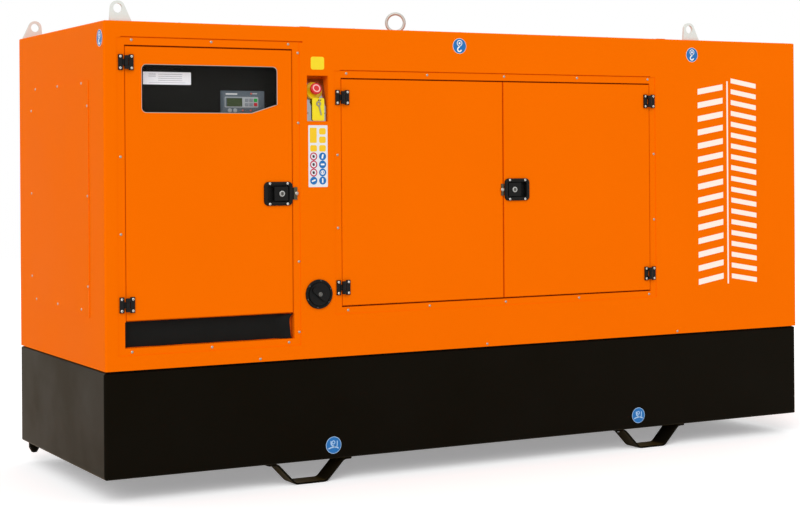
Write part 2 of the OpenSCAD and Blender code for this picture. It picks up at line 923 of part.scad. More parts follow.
// Sheet bent once: upright at its foot, then leaning back behind the button
module stop_plate() {
    half = stop_w / 2 - fit - pocket_t - fit;
    middle = plate_in + plate_t / 2;
    color("#a9adae")
        difference() {
            translate([lx(stop_x + stop_w / 2) - half, front_y, cz(stop_z)])
                rotate([90, 0, 90]) linear_extrude(2 * half)
                    bent_bar([[middle, plate_lift], [middle, plate_bend],
                        [middle + plate_l * sin(stop_tilt), plate_bend + plate_l * cos(stop_tilt)]],
                        plate_t, 2 * plate_t);
            on_plate() translate([button_x, -cut, button_z]) rotate([-90, 0, 0])
                cylinder(r = button_hole_r, h = plate_t + 2 * cut);
        }
}

// Yellow collar on the plate, around the button
collar_r = 36;
collar_h = 10;

module stop_collar() {
    color("#e8c800")
        on_plate() translate([button_x, 0, button_z]) rotate([90, 0, 0])
            difference() {
                cylinder(r = collar_r, h = collar_h);
                translate([0, 0, -cut]) cylinder(r = button_hole_r, h = collar_h + 2 * cut);
            }
}

module stop_button() {
    color("#d01818")
        on_plate() translate([button_x, 0, button_z]) rotate([90, 0, 0]) {
            translate([0, 0, -plate_t])
                cylinder(r = button_hole_r - 0.5, h = plate_t + collar_h + 2 + stop_travel);
            translate([0, 0, collar_h + 1 + stop_travel]) {
                cylinder(r1 = 16, r2 = 23.5, h = 15);
                translate([0, 0, 15]) cylinder(r = 23.5, h = 9);
            }
        }
}

// ---- Fuel filler ----

filler_neck_r = 38;
filler_bore_r = 32;
neck_l = 70;
flange_t = 6;

module at_filler() {
    translate([lx(filler_x), front_y, cz(filler_z)]) rotate([90, 0, 0]) children();
}

module fuel_filler() {
    color("#171717")
        at_filler()
            difference() {
                union() {
                    cylinder(r = filler_r, h = flange_t);
                    translate([0, 0, -neck_l]) cylinder(r = filler_neck_r, h = neck_l + 1);
                }
                translate([0, 0, -neck_l + 4]) cylinder(r = filler_bore_r, h = neck_l + flange_t);
                translate([0, 0, flange_t - 3]) cylinder(r = filler_r - 9, h = 3 + cut);
            }
}

module fuel_cap() {
    cap_r = filler_r - 14;
    cap_out = pin_out + barrel_r;
    grip_h = 7;
    grip_r = 13;
    grip_l = 2 * cap_r - 12;
    color("#1f1f1f")
        at_filler() {
            translate([0, 0, flange_t - 2]) cylinder(r = cap_r, h = cap_out - grip_h - flange_t + 2);
            translate([0, 0, -14]) cylinder(r = filler_bore_r - 0.6, h = 14 + flange_t);
            translate([0, 0, cap_out - grip_h - 1]) rotate([0, 0, -40]) {
                linear_extrude(grip_h + 1) square([grip_l - 2 * grip_r, 2 * grip_r], center = true);
                for (side = [-1, 1])
                    translate([side * (grip_l / 2 - grip_r), 0, 0]) cylinder(r = grip_r, h = grip_h + 1);
            }
        }
}

// ---- Control compartment ----

cabinet_depth = 62;
cabinet_x = 110;
cabinet_w = 650;
cabinet_z = 900;
cabinet_h = 330;
cabinet_d = 210;

leg_w = 30;
leg_d = 40;

// Cabinet on two legs, its cover plate held in front of it
module control_cabinet() {
    color("#1a1b1b") {
        wall_box(cabinet_x, cabinet_depth + 2, cabinet_z, cabinet_w, cabinet_d - 2, cabinet_h);
        wall_box(cabinet_x + 8, cabinet_depth, cabinet_z + 8, cabinet_w - 16, 3, cabinet_h - 16);
        for (x = [cabinet_x, cabinet_x + cabinet_w - leg_w])
            wall_box(x, cabinet_depth + cabinet_d - leg_d, 0, leg_w, leg_d, cabinet_z + 1);
    }
}

controller_x = 500;
controller_z = 982;
controller_w = 188;
controller_h = 92;
controller_out = 9;
bezel = 3;

// Controller: flange on the cabinet and a raised front with a sunk screen
module controller() {
    color("#5b6670")
        difference() {
            union() {
                wall_box(controller_x, cabinet_depth - bezel, controller_z, controller_w, bezel, controller_h);
                wall_box(controller_x + 5, cabinet_depth - controller_out, controller_z + 5,
                    controller_w - 10, controller_out, controller_h - 10);
            }
            wall_box(controller_x + 24, cabinet_depth - controller_out - cut, controller_z + 26,
                72, cut + 2, 36);
        }
}

// Output breaker with its terminals on a plate behind the cable bay
breaker_plate_z = 330;
breaker_plate_h = 560;
breaker_w = 150;
breaker_h = 210;
breaker_d = 86;
breaker_z = 600;
terminals = 4;

module output_breaker() {
    plate_w = cabinet_w - 60;
    plate_x = cabinet_x + 30;
    mid = cabinet_x + cabinet_w / 2;
    depth = cabinet_depth + cabinet_d;
    color("#2b2d2f") {
        wall_box(plate_x, depth, breaker_plate_z, plate_w, 4, breaker_plate_h);
        wall_box(mid - breaker_w / 2, depth - breaker_d, breaker_z, breaker_w, breaker_d + 1, breaker_h);
        wall_box(mid - breaker_w / 2 + 20, depth - breaker_d - 16, breaker_z + 60,
            breaker_w - 40, 17, breaker_h - 120);
        wall_box(mid - 12, depth - breaker_d - 36, breaker_z + 100, 24, 21, 44);
        wall_box(mid - 190, depth - 60, breaker_plate_z + 70, 380, 61, 50);
        for (i = [0 : terminals - 1])
            translate([lx(mid - 150 + i * 100), front_y + depth - 60, cz(breaker_plate_z + 95)])
                rotate([90, 0, 0]) {
                    cylinder(r = 16, h = 10);
                    cylinder(r = 8, h = 36);
                }
    }
}

// ---- Machine inside ----

shroud_box = 60;
rail_y = 210;
rail_w = 70;
rail_h = 90;
rail_t = 8;
rail_end = 40;
rail_l = radiator_x - shroud_box - alternator_x + rail_end - fit;
coupling_l = 90;
engine_x = alternator_x + alternator_l + coupling_l;

// Two channels that carry the alternator and the engine
module engine_rails() {
    color("#232323")
        for (side = [-1, 1])
            translate([lx(alternator_x - rail_end), side * rail_y - rail_w / 2, canopy_z])
                difference() {
                    cube([rail_l, rail_w, rail_h]);
                    translate([-cut, side > 0 ? rail_t : -cut, rail_t])
                        cube([rail_l + 2 * cut, rail_w - rail_t + cut, rail_h - 2 * rail_t]);
                }
}

// Round bar along +X from x0 to x1
module axle(r, x0, x1) {
    translate([x0, 0, 0]) rotate([0, 90, 0]) cylinder(r = r, h = x1 - x0);
}

block_w = 280;
block_top = 270;
skirt_w = 336;
skirt_bottom = -110;
sump_bottom = -215;
head_w = 220;
head_h = 86;
cylinders = 6;
pitch = (engine_l - 300) / cylinders;
cover_l = pitch - 22;
manifold_r = 34;
manifold_y = 158;
turbo_x = engine_l - 250;
mount_foot_w = 78;

// Six-cylinder engine along +X: the crankshaft on the axis, the flywheel end at x = 0
module engine() {
    color("#3c4346")
        translate([lx(engine_x), 0, cz(shaft_z)]) {
            engine_block();
            engine_head();
            engine_front();
            engine_sides();
            for (x = [60, engine_l - 260], side = [-1, 1])
                translate([x, side > 0 ? skirt_w / 2 - 2 : -skirt_w / 2 - mount_foot_w + 2, rail_h - shaft_z])
                    cube([90, mount_foot_w, 160]);
        }
}

module engine_block() {
    long = engine_l - 150;
    axle(alternator_r + 14, -coupling_l, -coupling_l + 16);
    axle(alternator_r - 8, -coupling_l, 14);
    translate([0, -skirt_w / 2, skirt_bottom]) cube([long, skirt_w, 190]);
    translate([0, -block_w / 2, skirt_bottom]) cube([long, block_w, block_top - skirt_bottom]);
    for (i = [0 : cylinders])
        translate([44 + i * pitch, -block_w / 2 - 10, 70]) cube([14, block_w + 20, 190]);
    translate([40, -skirt_w / 2 + 20, skirt_bottom - 40]) cube([long - 70, skirt_w - 40, 50]);
    translate([110, -skirt_w / 2 + 40, sump_bottom]) cube([380, skirt_w - 80, -sump_bottom + skirt_bottom]);
}

// Cylinder head with a round-topped cover over each cylinder
module engine_head() {
    translate([30, -head_w / 2, block_top - 2]) cube([engine_l - 210, head_w, head_h]);
    for (i = [0 : cylinders - 1])
        translate([62 + i * pitch, 0, block_top + head_h - 4]) {
            translate([0, -80, 0]) cube([cover_l, 160, 26]);
            translate([0, 0, -8]) rotate([0, 90, 0]) intersection() {
                cylinder(r = 66, h = cover_l);
                translate([-66, -66, 0]) cube([36, 132, cover_l]);
            }
        }
}

// Timing case, pulleys, and the fan on its own raised shaft
fan_z = 110;
fan_hub_r = 62;
fan_blades = 8;
fan_blade_w = 96;
fan_blade_t = 7;
fan_pitch = 32;
fan_t = fan_blade_w * sin(fan_pitch) + fan_blade_t;

module engine_front() {
    front = engine_l - 152;
    translate([front, -130, skirt_bottom]) cube([42, 260, 330]);
    axle(108, front + 40, front + 74);
    for (rim = [0, 1]) axle(116, front + 42 + rim * 26, front + 46 + rim * 26);
    translate([0, 0, fan_z]) {
        axle(72, front + 40, front + 74);
        axle(26, front + 70, engine_l - 6);
        translate([engine_l - fan_t / 2, 0, 0]) fan();
    }
    translate([front - 60, -190, 120]) {
        axle(58, 0, 96);
        axle(34, 90, 134);
        translate([10, 0, -20]) cube([60, 90, 40]);
    }
}

// Eight-bladed fan, its middle at the origin
module fan() {
    axle(fan_hub_r, -fan_t / 2, fan_t / 2);
    for (i = [0 : fan_blades - 1])
        rotate([i * 360 / fan_blades, 0, 0])
            intersection() {
                translate([0, 0, fan_hub_r - 8]) rotate([0, 0, fan_pitch])
                    translate([-fan_blade_t / 2, -fan_blade_w / 2, 0])
                        cube([fan_blade_t, fan_blade_w, fan_r]);
                axle(fan_r, -fan_t, fan_t);
            }
}

// Exhaust side with its turbocharger to +Y; inlet, injection and filters on the service side
module engine_sides() {
    log_l = cylinders * pitch - 30;
    translate([60, manifold_y, block_top + 30]) axle(manifold_r, 0, log_l);
    for (i = [0 : cylinders - 1])
        translate([62 + i * pitch + cover_l / 2, head_w / 2 - 10, block_top + 30])
            rotate([-90, 0, 0]) cylinder(r = 24, h = manifold_y - head_w / 2);
    translate([turbo_x, manifold_y, block_top + 90]) {
        axle(72, -60, -10);
        axle(30, -20, 30);
        axle(62, 24, 66);
        translate([-35, 0, -70]) cylinder(r = 26, h = 60);
        translate([-35, 0, 0]) cylinder(r = exhaust_r, h = turbo_outlet);
    }
    translate([60, -158, block_top + 20]) axle(38, 0, log_l);
    for (i = [0 : cylinders - 1])
        translate([62 + i * pitch + cover_l / 2, -head_w / 2 + 10, block_top + 20])
            rotate([90, 0, 0]) cylinder(r = 22, h = 158 - head_w / 2);
    translate([230, -200, 60]) cube([250, 66, 110]);
    for (i = [0 : cylinders - 1])
        translate([250 + i * 38, -172, 168]) cylinder(r = 9, h = 30);
    for (i = [0, 1])
        translate([100 + i * 100, -196, -70]) {
            cylinder(r = 44, h = 130);
            translate([-30, 0, 128]) cube([60, 40, 30]);
        }
}

alternator_ribs = 6;
vent_n = 18;

// Alternator: finned frame, vented end cover, terminal box and feet
module alternator() {
    bell_l = 90;
    color("#5a6468")
        translate([lx(alternator_x), 0, cz(shaft_z)]) {
            axle(alternator_r, bell_l, alternator_l);
            difference() {
                axle(alternator_r - 12, 0, bell_l + 2);
                for (i = [0 : vent_n - 1])
                    rotate([i * 360 / vent_n, 0, 0])
                        translate([-cut, -8, alternator_r * 0.42]) cube([26, 16, alternator_r * 0.42]);
            }
            for (i = [0 : alternator_ribs - 1])
                translate([bell_l + 20 + i * (alternator_l - bell_l - 60) / (alternator_ribs - 1), 0, 0])
                    axle(alternator_r + 9, 0, 14);
            translate([bell_l, -120, alternator_r - 45]) cube([300, 240, 150]);
            translate([bell_l - 6, -126, alternator_r + 99]) cube([312, 252, 10]);
            for (x = [bell_l, alternator_l - 110], side = [-1, 1])
                translate([x, side * rail_y - rail_w / 2, rail_h - shaft_z])
                    cube([80, rail_w, shaft_z - rail_h - 40]);
        }
}

shroud_d = radiator_x - engine_x - engine_l + fan_t / 2;
shroud_t = 4;
tip_gap = 12;
core_side = 40;
tank_h = 80;

// Radiator: side channels, two tanks, core, and the shroud that closes round the fan
module radiator() {
    core_w = radiator_w - 2 * core_side;
    core_h = radiator_h - 2 * tank_h;
    fan_axis = shaft_z + fan_z;
    color("#1e1f20")
        translate([lx(radiator_x), -radiator_w / 2, canopy_z]) {
            difference() {
                cube([radiator_d, radiator_w, radiator_h]);
                translate([-cut, core_side, tank_h])
                    cube([radiator_d + 2 * cut, core_w, core_h]);
            }
            translate([18, core_side - 1, tank_h - 1]) cube([radiator_d - 36, core_w + 2, core_h + 2]);
            translate([radiator_d / 2, radiator_w / 2 - 200, radiator_h - 1]) {
                cylinder(r = 30, h = 24);
                translate([0, 0, 22]) cylinder(r = 38, h = 16);
            }
            difference() {
                union() {
                    translate([-shroud_box, core_side - 20, tank_h - 20])
                        cube([shroud_box + 1, core_w + 40, core_h + 40]);
                    translate([0, radiator_w / 2, fan_axis]) axle(fan_r + tip_gap + shroud_t, -shroud_d, 0);
                }
                translate([shroud_t - shroud_box, core_side - 20 + shroud_t, tank_h - 20 + shroud_t])
                    cube([shroud_box + 2, core_w + 40 - 2 * shroud_t, core_h + 40 - 2 * shroud_t]);
                translate([0, radiator_w / 2, fan_axis]) axle(fan_r + tip_gap, -shroud_d - cut, 0);
            }
        }
}

exhaust_r = 38;
exhaust_z = radiator_h + 130;
exhaust_bend_r = 70;
turbo_outlet = 90;
silencer_z = 560;
saddle_t = 8;

// Pipe bent through a right angle: starts at the origin along +Z and leaves along +X
module elbow() {
    translate([exhaust_bend_r, 0, 0]) rotate([90, 0, 0])
        difference() {
            rotate_extrude() translate([exhaust_bend_r, 0]) circle(exhaust_r);
            translate([0, -2 * exhaust_bend_r, -exhaust_r - cut])
                cube([2 * exhaust_bend_r, 4 * exhaust_bend_r, 2 * exhaust_r + 2 * cut]);
            translate([-2 * exhaust_bend_r, -2 * exhaust_bend_r, -exhaust_r - cut])
                cube([4 * exhaust_bend_r, 2 * exhaust_bend_r, 2 * exhaust_r + 2 * cut]);
        }
}

// Silencer across the hot-air chamber on two saddles, fed by a pipe over the radiator
module silencer() {
    start_x = engine_x + turbo_x - 35;
    start_z = shaft_z + block_top + 90 + turbo_outlet + fit;
    mid_x = plenum_x + plenum_l / 2;
    color("#6d6a66") {
        translate([lx(start_x), manifold_y, cz(start_z)]) {
            cylinder(r = exhaust_r + 14, h = 12);
            cylinder(r = exhaust_r, h = exhaust_z - exhaust_bend_r - start_z);
        }
        translate([lx(start_x), manifold_y, cz(exhaust_z - exhaust_bend_r)]) elbow();
        translate([lx(start_x + exhaust_bend_r), manifold_y, cz(exhaust_z)])
            axle(exhaust_r, 0, mid_x - start_x - 2 * exhaust_bend_r);
        translate([lx(mid_x), manifold_y, cz(exhaust_z - exhaust_bend_r)])
            mirror([1, 0, 0]) elbow();
        translate([lx(mid_x), manifold_y, cz(silencer_z)])
            cylinder(r = exhaust_r, h = exhaust_z - exhaust_bend_r - silencer_z);
        translate([lx(mid_x), silencer_l / 2, cz(silencer_z)]) rotate([90, 0, 0])
            cylinder(r = silencer_r, h = silencer_l);
        for (side = [-1, 1])
            translate([lx(mid_x), side * silencer_l / 2, cz(silencer_z)]) rotate([90, 0, 0])
                cylinder(r = silencer_r + 5, h = 24, center = true);
        translate([lx(mid_x), -silencer_l / 2 + 110, cz(silencer_z)])
            cylinder(r = exhaust_r + 4, h = roof_under - cz(silencer_z) - 40);
        for (side = [-1, 1])
            translate([lx(mid_x) - 70, side * silencer_l * 0.32 - saddle_t / 2, canopy_z])
                cube([140, saddle_t, silencer_z - silencer_r + 30]);
        translate([lx(mid_x) - 80, -silencer_l * 0.36, canopy_z])
            cube([160, silencer_l * 0.72, saddle_t]);
    }
}

filter_r = 105;
filter_l = 360;
filter_y = 60;
filter_z = block_top + head_h + 70 + filter_r;
filter_foot = 60;

// Air filter on a bracket that stands on the cylinder head
module air_filter() {
    color("#26282a")
        translate([lx(engine_x + 40), filter_y, cz(shaft_z + filter_z)]) {
            axle(filter_r, 0, filter_l);
            axle(filter_r - 25, filter_l - 6, filter_l + 30);
            axle(filter_r + 5, 70, 90);
            axle(filter_r + 5, filter_l - 90, filter_l - 70);
            axle(44, -80, 6);
            translate([filter_foot, -filter_y + head_w / 2 - 26, block_top + head_h - 2 + fit - filter_z])
                cube([filter_l - 120, 8, filter_z - block_top - head_h - filter_r + 60]);
        }
}

battery_x = 40;
battery_depth = 90;
battery_l = 350;
battery_w = 175;
battery_h = 210;

// Starter battery with its lid and two posts
module battery() {
    color("#202226")
        translate([lx(eng_open_x + battery_x), front_y + battery_depth, canopy_z]) {
            cube([battery_l, battery_w, battery_h - 30]);
            translate([-3, -3, battery_h - 34]) cube([battery_l + 6, battery_w + 6, 34]);
            for (x = [45, battery_l - 45])
                translate([x, battery_w - 40, battery_h - 1]) cylinder(r = 10, h = 19);
        }
}

base_tank();
front_feet();
rear_feet();
drain_plug();
left_end_wall();
right_end_wall();
end_covers();
rear_wall();
rear_doors();
rear_hinges();
rear_latches();
roof();
roof_grille();
lifting_lugs();
lifting_eye();
front_left_post();
front_mid_post();
front_right_panel();
front_headers();
front_sills();
control_door_frame();
engine_door_frame();
door_stops();
hinge_frame_leaves();
control_keeper();
stop_pocket();
stop_plate();
stop_collar();
fuel_filler();
control_cabinet();
controller();
output_breaker();
rubber_curtain();
engine_rails();
engine();
alternator();
radiator();
silencer();
air_filter();
battery();
control_door();
window_pane();
control_door_hinges();
control_latch();
control_paddle();
engine_door_left();
engine_left_hinges();
engine_keeper();
engine_door_right();
engine_right_hinges();
engine_latch();
engine_paddle();
stop_button();
fuel_cap();
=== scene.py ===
"""Diesel generator set in a sound-insulated steel canopy on its fuel-tank base.

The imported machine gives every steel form; this script gives it paint, plating, rubber and plastic,
and adds the small pieces that are worked out here as surfaces. Lengths are in millimetres in the
machine's frame until piece() turns them into metres.
"""
import bpy
import numpy as np
from mathutils import Matrix, Vector


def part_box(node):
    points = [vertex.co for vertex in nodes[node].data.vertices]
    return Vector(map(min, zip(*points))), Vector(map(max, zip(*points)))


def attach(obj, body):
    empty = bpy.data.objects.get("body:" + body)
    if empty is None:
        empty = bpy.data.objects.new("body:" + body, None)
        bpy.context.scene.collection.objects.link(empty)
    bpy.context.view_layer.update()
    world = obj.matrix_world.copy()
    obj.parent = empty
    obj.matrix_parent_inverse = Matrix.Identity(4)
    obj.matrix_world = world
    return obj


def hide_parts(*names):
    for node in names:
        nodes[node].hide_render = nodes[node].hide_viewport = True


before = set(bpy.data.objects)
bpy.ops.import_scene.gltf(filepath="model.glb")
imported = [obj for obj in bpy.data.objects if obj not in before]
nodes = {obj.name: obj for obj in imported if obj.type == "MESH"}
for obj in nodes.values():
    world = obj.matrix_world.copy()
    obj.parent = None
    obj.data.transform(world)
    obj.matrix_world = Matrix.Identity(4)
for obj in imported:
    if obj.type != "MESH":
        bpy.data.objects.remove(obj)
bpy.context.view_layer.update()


# ---------------------------------------------------------------------------
# Camera: long lens at chest height, nearly level, turned 28.5 degrees from square-on
# ---------------------------------------------------------------------------

heading, roll = np.radians(28.54), np.radians(-0.373)
ahead = Vector((np.sin(heading), np.cos(heading), 0))
level = Vector((np.cos(heading), -np.sin(heading), 0))
plumb = Vector((0, 0, 1))
aside = level * np.cos(roll) + plumb * np.sin(roll)
above = plumb * np.cos(roll) - level * np.sin(roll)
lens = bpy.data.cameras.new("studio_camera")
lens.sensor_width, lens.lens = 36.0, 77.2
lens.shift_y = -0.1269
lens.clip_end = 200
stand = (-3.813, -6.793, 1.307)
camera = bpy.data.objects.new("studio_camera", lens)
camera.matrix_world = Matrix((*zip(aside, above, -ahead, stand), (0, 0, 0, 1)))
bpy.context.scene.collection.objects.link(camera)
bpy.context.scene.camera = camera
bpy.context.scene.view_settings.view_transform = "Standard"


# ---------------------------------------------------------------------------
# Node trees
# ---------------------------------------------------------------------------

def colour(code):
    """sRGB hex to linear: c / 12.92 below 0.04045, else ((c + 0.055) / 1.055) ** 2.4."""
    c = np.array([int(code[i:i + 2], 16) for i in (1, 3, 5)]) / 255
    linear = np.where(c <= 0.04045, c / 12.92, ((c + 0.055) / 1.055) ** 2.4)
    return (*linear.tolist(), 1.0)


def add(tree, kind, inputs=None, **settings):
    """Adds a node, sets its settings, and fills each input with a value or a link (node, output)."""
    node = tree.nodes.new(kind)
    for key, value in settings.items():
        setattr(node, key, value)
    for key, value in (inputs or {}).items():
        if isinstance(value, tuple) and isinstance(value[0], bpy.types.Node):
            tree.links.new(value[0].outputs[value[1]], node.inputs[key])
        else:
            node.inputs[key].default_value = value
    return node


def per_mm(size):
    """Texture scale at which one cell of a pattern is so many millimetres wide."""
    return 1000.0 / size


def finish(name, code, rough, shade, grain=None, wave=None, metal=0.0, specular=0.5, sheen_of=None,
           bloom=0.0):
    """A worked surface, told by pairs: roughness and its spread; shade, how far the colour drifts and
    over how many mm; a grain of the skin and a longer wave of the sheet, each size and depth in mm. A
    bloom greys it at a low angle, in the colour of its sheen.
    """
    mat = bpy.data.materials.new(name)
    mat.use_nodes = True
    tree = mat.node_tree
    shader = tree.nodes["Principled BSDF"]
    shader.inputs["Metallic"].default_value = metal
    shader.inputs["Specular IOR Level"].default_value = specular
    if sheen_of:
        shader.inputs["Specular Tint"].default_value = colour(sheen_of)
        shader.inputs["Sheen Tint"].default_value = colour(sheen_of)
        shader.inputs["Sheen Weight"].default_value = bloom
        shader.inputs["Sheen Roughness"].default_value = 0.35
    where = add(tree, "ShaderNodeTexCoord")
    drift = add(tree, "ShaderNodeTexNoise", {"Vector": (where, "Object"), "Scale": per_mm(shade[1]),
                                             "Detail": 3.0, "Roughness": 0.55})
    base = colour(code)
    deep = [c * (1 - shade[0]) for c in base[:3]] + [1.0]
    pale = [min(1.0, c * (1 + shade[0]) + 0.01 * shade[0]) for c in base[:3]] + [1.0]
    tint = add(tree, "ShaderNodeMix", {"Factor": (drift, "Fac"), 6: tuple(deep), 7: tuple(pale)},
               data_type="RGBA")
    tree.links.new(tint.outputs[2], shader.inputs["Base Color"])
    satin = add(tree, "ShaderNodeMapRange", {"Value": (drift, "Fac"), "From Min": 0.3, "From Max": 0.7,
                                             "To Min": rough[0] - rough[1], "To Max": rough[0] + rough[1]})
    tree.links.new(satin.outputs["Result"], shader.inputs["Roughness"])
    skin = None
    for relief, detail in ((grain, 2.0), (wave, 0.0)):
        if relief:
            cells = add(tree, "ShaderNodeTexNoise", {"Vector": (where, "Object"), "Scale": per_mm(relief[0]),
                                                     "Detail": detail})
            raised = {"Height": (cells, "Fac"), "Strength": 1.0, "Distance": relief[1] / 1000}
            if skin:
                raised["Normal"] = (skin, "Normal")
            skin = add(tree, "ShaderNodeBump", raised)
    if skin:
        tree.links.new(skin.outputs["Normal"], shader.inputs["Normal"])
    return mat


def glowing(mat, code, strength):
    """Gives a finish some light of its own."""
    shader = mat.node_tree.nodes["Principled BSDF"]
    shader.inputs["Emission Color"].default_value = colour(code)
    shader.inputs["Emission Strength"].default_value = strength
    return mat


def vinyl(name, code, shade, rough=0.38):
    """Vinyl film: smooth and slightly glossy."""
    return finish(name, code, (rough, 0.05), shade, (12, 0.02), specular=0.4)


def screen_ink(name, code, rough, shade, specular=0.3):
    """Screen print on a film."""
    return finish(name, code, (rough, 0.05), shade, specular=specular)


# ---------------------------------------------------------------------------
# Finishes
# ---------------------------------------------------------------------------

# Polyester powder coat on folded sheet: a flat satin orange with faint orange peel, 3 mm from crest
# to crest, and the long, shallow swell that thin sheet keeps between its folds.
orange_coat = finish("orange_powder_coat", "#F66E00", (0.45, 0.05), (0.025, 520), (3, 0.02), (420, 0.35),
                     specular=0.006, sheen_of="#FFB060")
# Epoxy-polyester coat on welded plate: deep satin black with a dry, warm grey bloom at a low angle.
black_coat = finish("black_powder_coat", "#080807", (0.42, 0.07), (0.12, 300), (2.4, 0.02), (350, 0.3),
                    specular=0.05, sheen_of="#FFD070", bloom=0.125)
# Zinc die casting under black powder: harder and glossier than the polymer, with a fine pebble.
hinge_cast = finish("black_coated_zinc_casting", "#0C0C0C", (0.36, 0.05), (0.1, 30), (1.2, 0.03),
                    specular=0.2)
# Glass-filled polyamide, moulded with a spark-eroded grain: a dull black that greys at the edges.
polyamide = finish("black_glass_filled_polyamide", "#0E0E0D", (0.46, 0.06), (0.1, 25), (0.9, 0.05),
                   specular=0.16)
# Bright zinc plate, passivated: a soft silver with cloudy, faintly blue patches.
zinc_plate = finish("bright_zinc_plate", "#C9CCCF", (0.3, 0.07), (0.06, 18), (6, 0.02), metal=1.0)
# Zinc plate of the stop's bracket, mirror-smooth but clouded: it shows the orange of the recess around it.
bracket_zinc = finish("clouded_zinc_bracket", "#A2A4A6", (0.17, 0.08), (0.16, 6), (5, 0.012), metal=1.0)
# Zinc plate over the forged scale of the lifting eye: greyer and duller, with no mirror of the roof.
forged_zinc = finish("zinc_plated_forging", "#BFC2BC", (0.46, 0.08), (0.1, 14), (5, 0.04), metal=0.45)
# Hot-dip zinc on the lifting lugs, weathered to a pale, dull, almost white crust.
hot_dip_zinc = finish("hot_dip_galvanised_steel", "#DFE2DC", (0.6, 0.08), (0.05, 22), (4, 0.06), metal=0.12)
# Turned and tumbled stainless steel of rivet and screw heads: small hard glints.
stainless = finish("stainless_steel_fastener", "#B4AEA4", (0.34, 0.08), (0.08, 12), (2, 0.01), metal=1.0)
# Zinc-flake coat on the hinges' and latches' socket screws: a pale, even silver that shows nearly white.
zinc_flake = finish("zinc_flake_coated_screw", "#ECEAE4", (0.5, 0.06), (0.04, 12), (2, 0.01), metal=0.85)
# Satin-chromed lock collar: a soft grey ring, worn a little brighter by the key.
chrome = finish("satin_chrome", "#C6C6C2", (0.3, 0.06), (0.06, 10), (1.5, 0.003), metal=1.0)
# Dull nickel of lock plugs, the cap's lock and the filler's screws: darker than the chromed collar.
lock_nickel = finish("dull_nickel_lock_plug", "#6B6A66", (0.36, 0.08), (0.12, 6), (1.5, 0.01), metal=0.9)
# Injection-moulded ABS of the stop button: saturated, glossy red.
button_red = finish("red_gloss_abs", "#D0181C", (0.22, 0.04), (0.05, 20), (8, 0.02))
# Yellow ABS of the collar around it.
collar_yellow = finish("yellow_gloss_abs", "#EBCB05", (0.3, 0.05), (0.05, 25), (8, 0.02))
# Fine-textured black powder on the control cabinet: it swallows light, with a faint sparkle.
cabinet_coat = finish("black_textured_powder_coat", "#13120F", (0.62, 0.05), (0.08, 120), (1.4, 0.08),
                      specular=0.12)
# Grey-blue ABS housing of the controller, lightly eroded.
controller_abs = finish("grey_blue_abs", "#5E6A73", (0.5, 0.04), (0.04, 40), (0.8, 0.03), specular=0.4)
# Polypropylene battery and breaker cases: waxy dark grey.
polypropylene = finish("dark_polypropylene", "#26292C", (0.46, 0.06), (0.08, 50), (1.6, 0.05), specular=0.4)
# EPDM sheet rubber: matt, slightly dusty black with a calendered grain.
epdm = finish("black_epdm_rubber", "#0C0D0B", (0.7, 0.08), (0.16, 60), (2, 0.06), (90, 0.4), specular=0.14)
# Brushed-on machine enamel over cast iron: sand-cast lumps show through the grey gloss.
engine_enamel = finish("grey_enamel_on_cast_iron", "#46505A", (0.4, 0.1), (0.14, 90), (2.5, 0.22))
# Enamel on the alternator's ribbed frame: a lighter grey, smoother.
alternator_enamel = finish("light_grey_machine_enamel", "#6A757A", (0.42, 0.08), (0.08, 110), (3, 0.08))
# Stove-enamelled radiator frame and shroud: thin semi-matt black.
radiator_enamel = finish("black_stove_enamel", "#202122", (0.5, 0.08), (0.12, 80), (2.2, 0.05), specular=0.4)
# Aluminised exhaust steel after some hours of running: straw and blue-grey heat tints.
exhaust_steel = finish("heat_tinted_exhaust_steel", "#8A8175", (0.46, 0.12), (0.25, 70), (5, 0.1), metal=0.9)
# Zinc striker plates, yellow-passivated and dulled by handling: a grey brown that is only half metallic.
keeper_zinc = finish("dull_passivated_zinc", "#55513F", (0.45, 0.08), (0.12, 14), (5, 0.03), metal=0.7)
# Clear polycarbonate sheet, 4 mm: it greys what lies behind it a little and keeps a sharp edge gloss.
clear_pane = finish("clear_polycarbonate", "#242723", (0.06, 0.02), (0.02, 300), specular=0.3)
clear_pane.node_tree.nodes["Principled BSDF"].inputs["Alpha"].default_value = 0.06
clear_pane.surface_render_method = "BLENDED"

# Each node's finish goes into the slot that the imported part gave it.
FINISHES = {
    orange_coat: ["left_end_wall", "right_end_wall", "end_covers", "rear_wall", "rear_doors", "roof",
                  "front_left_post", "front_mid_post", "front_right_panel", "front_headers",
                  "front_sills", "control_door_frame", "engine_door_frame", "door_stops",
                  "stop_pocket", "control_door", "engine_door_left", "engine_door_right"],
    black_coat: ["base_tank", "front_feet", "rear_feet", "drain_plug", "engine_rails", "roof_grille"],
    hinge_cast: ["rear_hinges", "hinge_frame_leaves", "control_door_hinges", "engine_left_hinges",
                 "engine_right_hinges"],
    polyamide: ["rear_latches", "fuel_filler", "control_latch", "control_paddle", "engine_latch",
                "engine_paddle", "fuel_cap", "air_filter"],
    forged_zinc: ["lifting_eye"],
    bracket_zinc: ["stop_plate"],
    keeper_zinc: ["control_keeper", "engine_keeper"],
    hot_dip_zinc: ["lifting_lugs"],
    collar_yellow: ["stop_collar"],
    button_red: ["stop_button"],
    cabinet_coat: ["control_cabinet"],
    controller_abs: ["controller"],
    polypropylene: ["battery", "output_breaker"],
    epdm: ["rubber_curtain"],
    engine_enamel: ["engine"],
    alternator_enamel: ["alternator"],
    radiator_enamel: ["radiator"],
    exhaust_steel: ["silencer"],
    clear_pane: ["window_pane"],
}
for material, names in FINISHES.items():
    for name in names:
        for slot in nodes[name].material_slots:
            slot.material = material


# ---------------------------------------------------------------------------
# Floor, background and light
# ---------------------------------------------------------------------------

